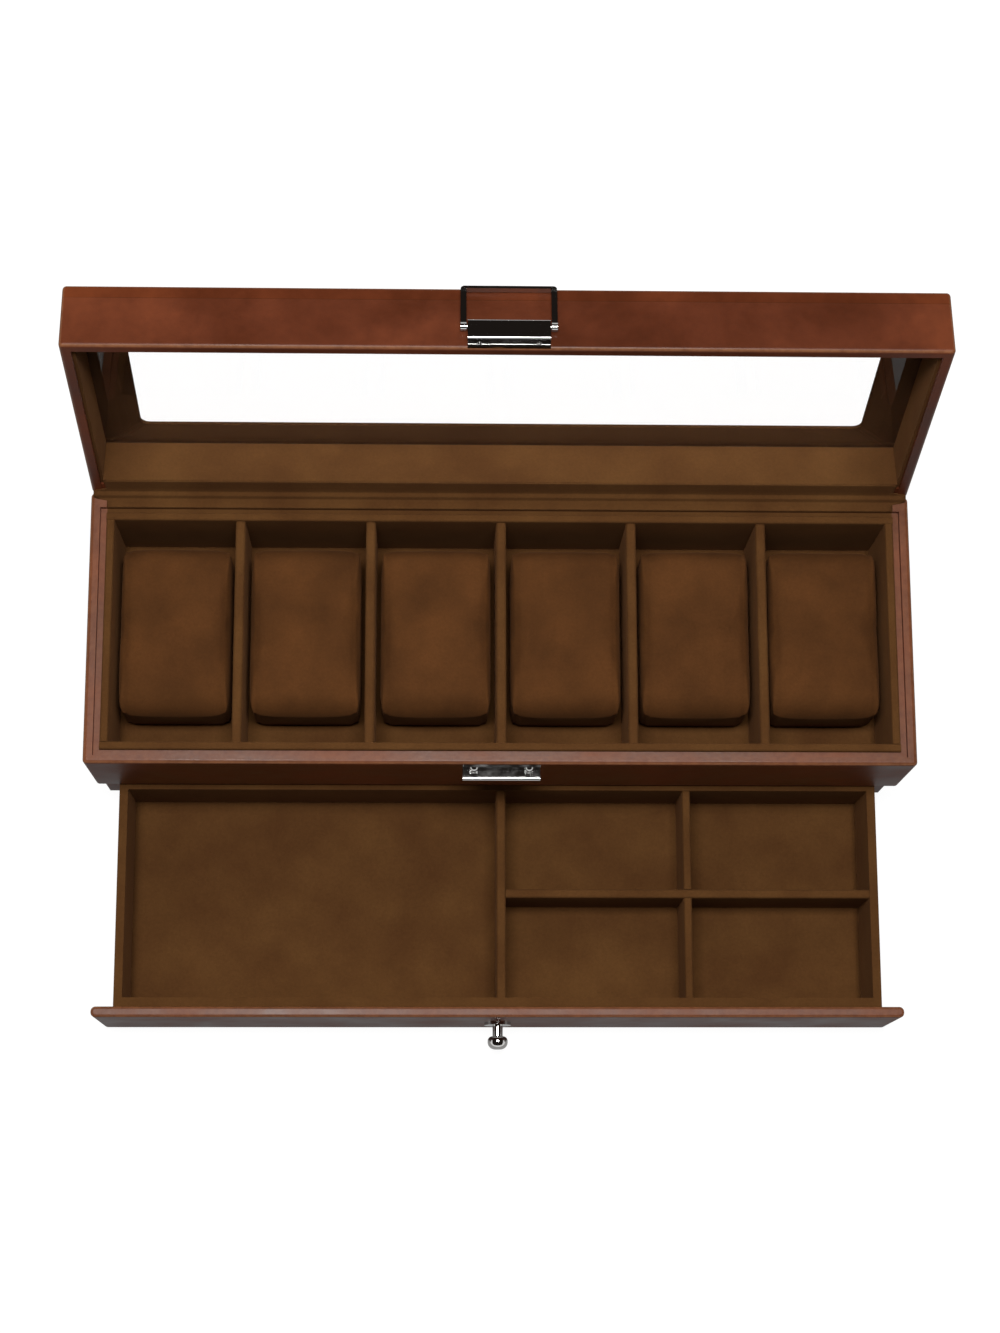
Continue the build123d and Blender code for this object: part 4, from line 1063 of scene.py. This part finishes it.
@dataclass(frozen=True)
class PhotoCamera:
    """The camera of the photograph, as fitted to the edges of the box."""

    focal_px: float = 2611.37
    long_side_px: float = 1333.0
    sensor_mm: float = 36.0
    place_mm: tuple[float, float, float] = (-29.226, -251.678, 1122.636)
    yaw: float = 0.0271
    pitch: float = 0.2256
    roll: float = 0.0041
    clip_start: float = 0.01

    def build(self) -> None:
        """Makes the camera the scene's own."""
        right = Vector((1, 0, 0))
        ahead = Vector((0, math.sin(self.pitch), -math.cos(self.pitch)))
        rows = Matrix((right, ahead.cross(right), ahead))
        rows = Matrix.Rotation(self.roll, 3, "Z") @ Matrix.Rotation(-self.yaw, 3, "Y") @ rows
        turned = Matrix((rows[0], -rows[1], -rows[2])).transposed()
        lens = bpy.data.cameras.new("photo_camera")
        lens.sensor_width = self.sensor_mm
        lens.lens = self.focal_px / self.long_side_px * self.sensor_mm
        lens.clip_start = self.clip_start
        camera = bpy.data.objects.new("photo_camera", lens)
        camera.matrix_world = Matrix.Translation(Vector(self.place_mm) * MM) @ turned.to_4x4()
        bpy.context.scene.collection.objects.link(camera)
        bpy.context.scene.camera = camera


@dataclass(frozen=True)
class Softbox:
    """A flat soft lamp."""

    name: str
    place: tuple[float, float, float]
    aim: tuple[float, float, float]
    size: tuple[float, float]
    watts: float
    glint: bool = True

    def build(self) -> None:
        """Hangs the lamp and turns it to its aim."""
        light = bpy.data.lights.new(self.name, "AREA")
        light.shape = "RECTANGLE"
        light.size, light.size_y = self.size
        light.energy = self.watts
        lamp = bpy.data.objects.new(self.name, light)
        turn = (Vector(self.aim) - Vector(self.place)).to_track_quat("-Z", "Y")
        lamp.matrix_world = Matrix.Translation(self.place) @ turn.to_matrix().to_4x4()
        lamp.visible_glossy = self.glint
        bpy.context.scene.collection.objects.link(lamp)


@dataclass(frozen=True)
class Studio:
    """The plain pale floor, the soft lamps and the white surroundings."""

    floor_half: float = 4.0
    floor_colour: str = "#e9e8e6"
    bounce_colour: str = "#6e6c6a"
    ceiling_colour: str = "#241f1c"
    white_share: float = 0.82
    gloss_share: float = 0.277
    paper_glow: float = 1.15
    fill: float = 0.06
    ceiling_height: float = 1.9
    ceiling_half: float = 4.0
    # The key is narrow from front to back, so that the corners of clasp and catch do not mirror it
    lamps: tuple[Softbox, ...] = (
        Softbox("key_softbox", (-0.04, -0.06, 1.5), (-0.04, -0.055, 0.0), (0.62, 0.27), 17.0),
        Softbox("left_softbox", (-0.95, -0.10, 1.25), (0.0, 0.0, 0.08), (0.5, 0.5), 1.5, glint=False),
        Softbox("back_softbox", (0.25, 0.85, 1.40), (0.0, 0.0, 0.08), (0.5, 0.5), 3.0, glint=False),
    )

    def build(self) -> None:
        """Builds the studio."""
        bpy.context.scene.view_settings.view_transform = "Standard"
        self.build_floor()
        self.build_ceiling()
        self.build_world()
        for lamp in self.lamps:
            lamp.build()

    def sheet(self, name: str, half: float, height: float, material: bpy.types.Material) -> bpy.types.Object:
        """Lays a flat square of the studio.

        Args:
            name: Its name.
            half: Half its side, in metres.
            height: Its height over the floor, in metres.
            material: Its material.

        Returns:
            The square.
        """
        shape = bmesh.new()
        bmesh.ops.create_grid(shape, x_segments=1, y_segments=1, size=half)
        bmesh.ops.translate(shape, vec=(0, 0, height), verts=shape.verts)
        square = new_piece(name, shape, material)
        return square

    def seen_mask(self, tree: bpy.types.NodeTree, camera: float, gloss: float) -> bpy.types.NodeSocket:
        """How white the studio is for each kind of ray: one through glass, and nought for light.

        Args:
            tree: The tree of the floor's or the world's shader.
            camera: The share for rays from the camera, from 0 to 1.
            gloss: The share for rays from gloss, from 0 to 1.

        Returns:
            The mask.
        """
        path = add_node(tree, "ShaderNodeLightPath")
        direct = math_node(tree, "MULTIPLY", path.outputs["Is Camera Ray"], camera)
        mirrored = math_node(tree, "MULTIPLY", path.outputs["Is Glossy Ray"], gloss)
        first = math_node(tree, "MAXIMUM", direct, mirrored)
        return math_node(tree, "MAXIMUM", first, path.outputs["Is Transmission Ray"])

    def build_floor(self) -> None:
        """Lays the floor, which shows as white and keeps the shadow of the box."""
        material, tree, output = new_material("studio_floor")
        paper = mix_colours(tree, self.seen_mask(tree, 1.0, 0.0), self.bounce_colour, self.floor_colour)
        matt = add_node(tree, "ShaderNodeBsdfDiffuse", links={"Color": paper})
        white = add_node(tree, "ShaderNodeEmission", {"Strength": self.paper_glow})
        share = self.seen_mask(tree, self.white_share, self.gloss_share)
        mix_shaders(tree, output, share, matt, white)
        self.sheet("studio_floor", self.floor_half, 0.0, material)

    def build_ceiling(self) -> None:
        """Hangs the dark cloth over the set, which only gloss sees."""
        material, tree, output = new_material("studio_ceiling")
        dark = add_node(
            tree, "ShaderNodeEmission", {"Color": linear(self.ceiling_colour), "Strength": 1.0}
        )
        tree.links.new(dark.outputs["Emission"], output.inputs["Surface"])
        ceiling = self.sheet("studio_ceiling", self.ceiling_half, self.ceiling_height, material)
        ceiling.visible_camera = False
        ceiling.visible_diffuse = False
        ceiling.visible_transmission = False
        ceiling.visible_volume_scatter = False
        ceiling.visible_shadow = False

    def build_world(self) -> None:
        """Surrounds the set with white for the eye and with a low even fill for the light."""
        world = bpy.data.worlds.new("studio_world")
        world.use_nodes = True
        tree = world.node_tree
        tree.nodes.clear()
        output = add_node(tree, "ShaderNodeOutputWorld")
        colour = linear("#ffffff")
        fill = add_node(tree, "ShaderNodeBackground", {"Color": colour, "Strength": self.fill})
        white = add_node(tree, "ShaderNodeBackground", {"Color": colour, "Strength": 1.0})
        mix_shaders(tree, output, self.seen_mask(tree, 1.0, 1.0), fill, white)
        bpy.context.scene.world = world


def main() -> None:
    """Builds the camera, the box and the studio in order."""
    logging.basicConfig(level=logging.INFO, format="%(name)s %(message)s")
    PhotoCamera().build()
    finishes = Finishes()
    Case().build(finishes)
    Cushions().build(finishes)
    Lid().build(finishes)
    HingeCloth().build(finishes)
    Drawer().build(finishes)
    Studio().build()


if __name__ == "__main__":
    main()
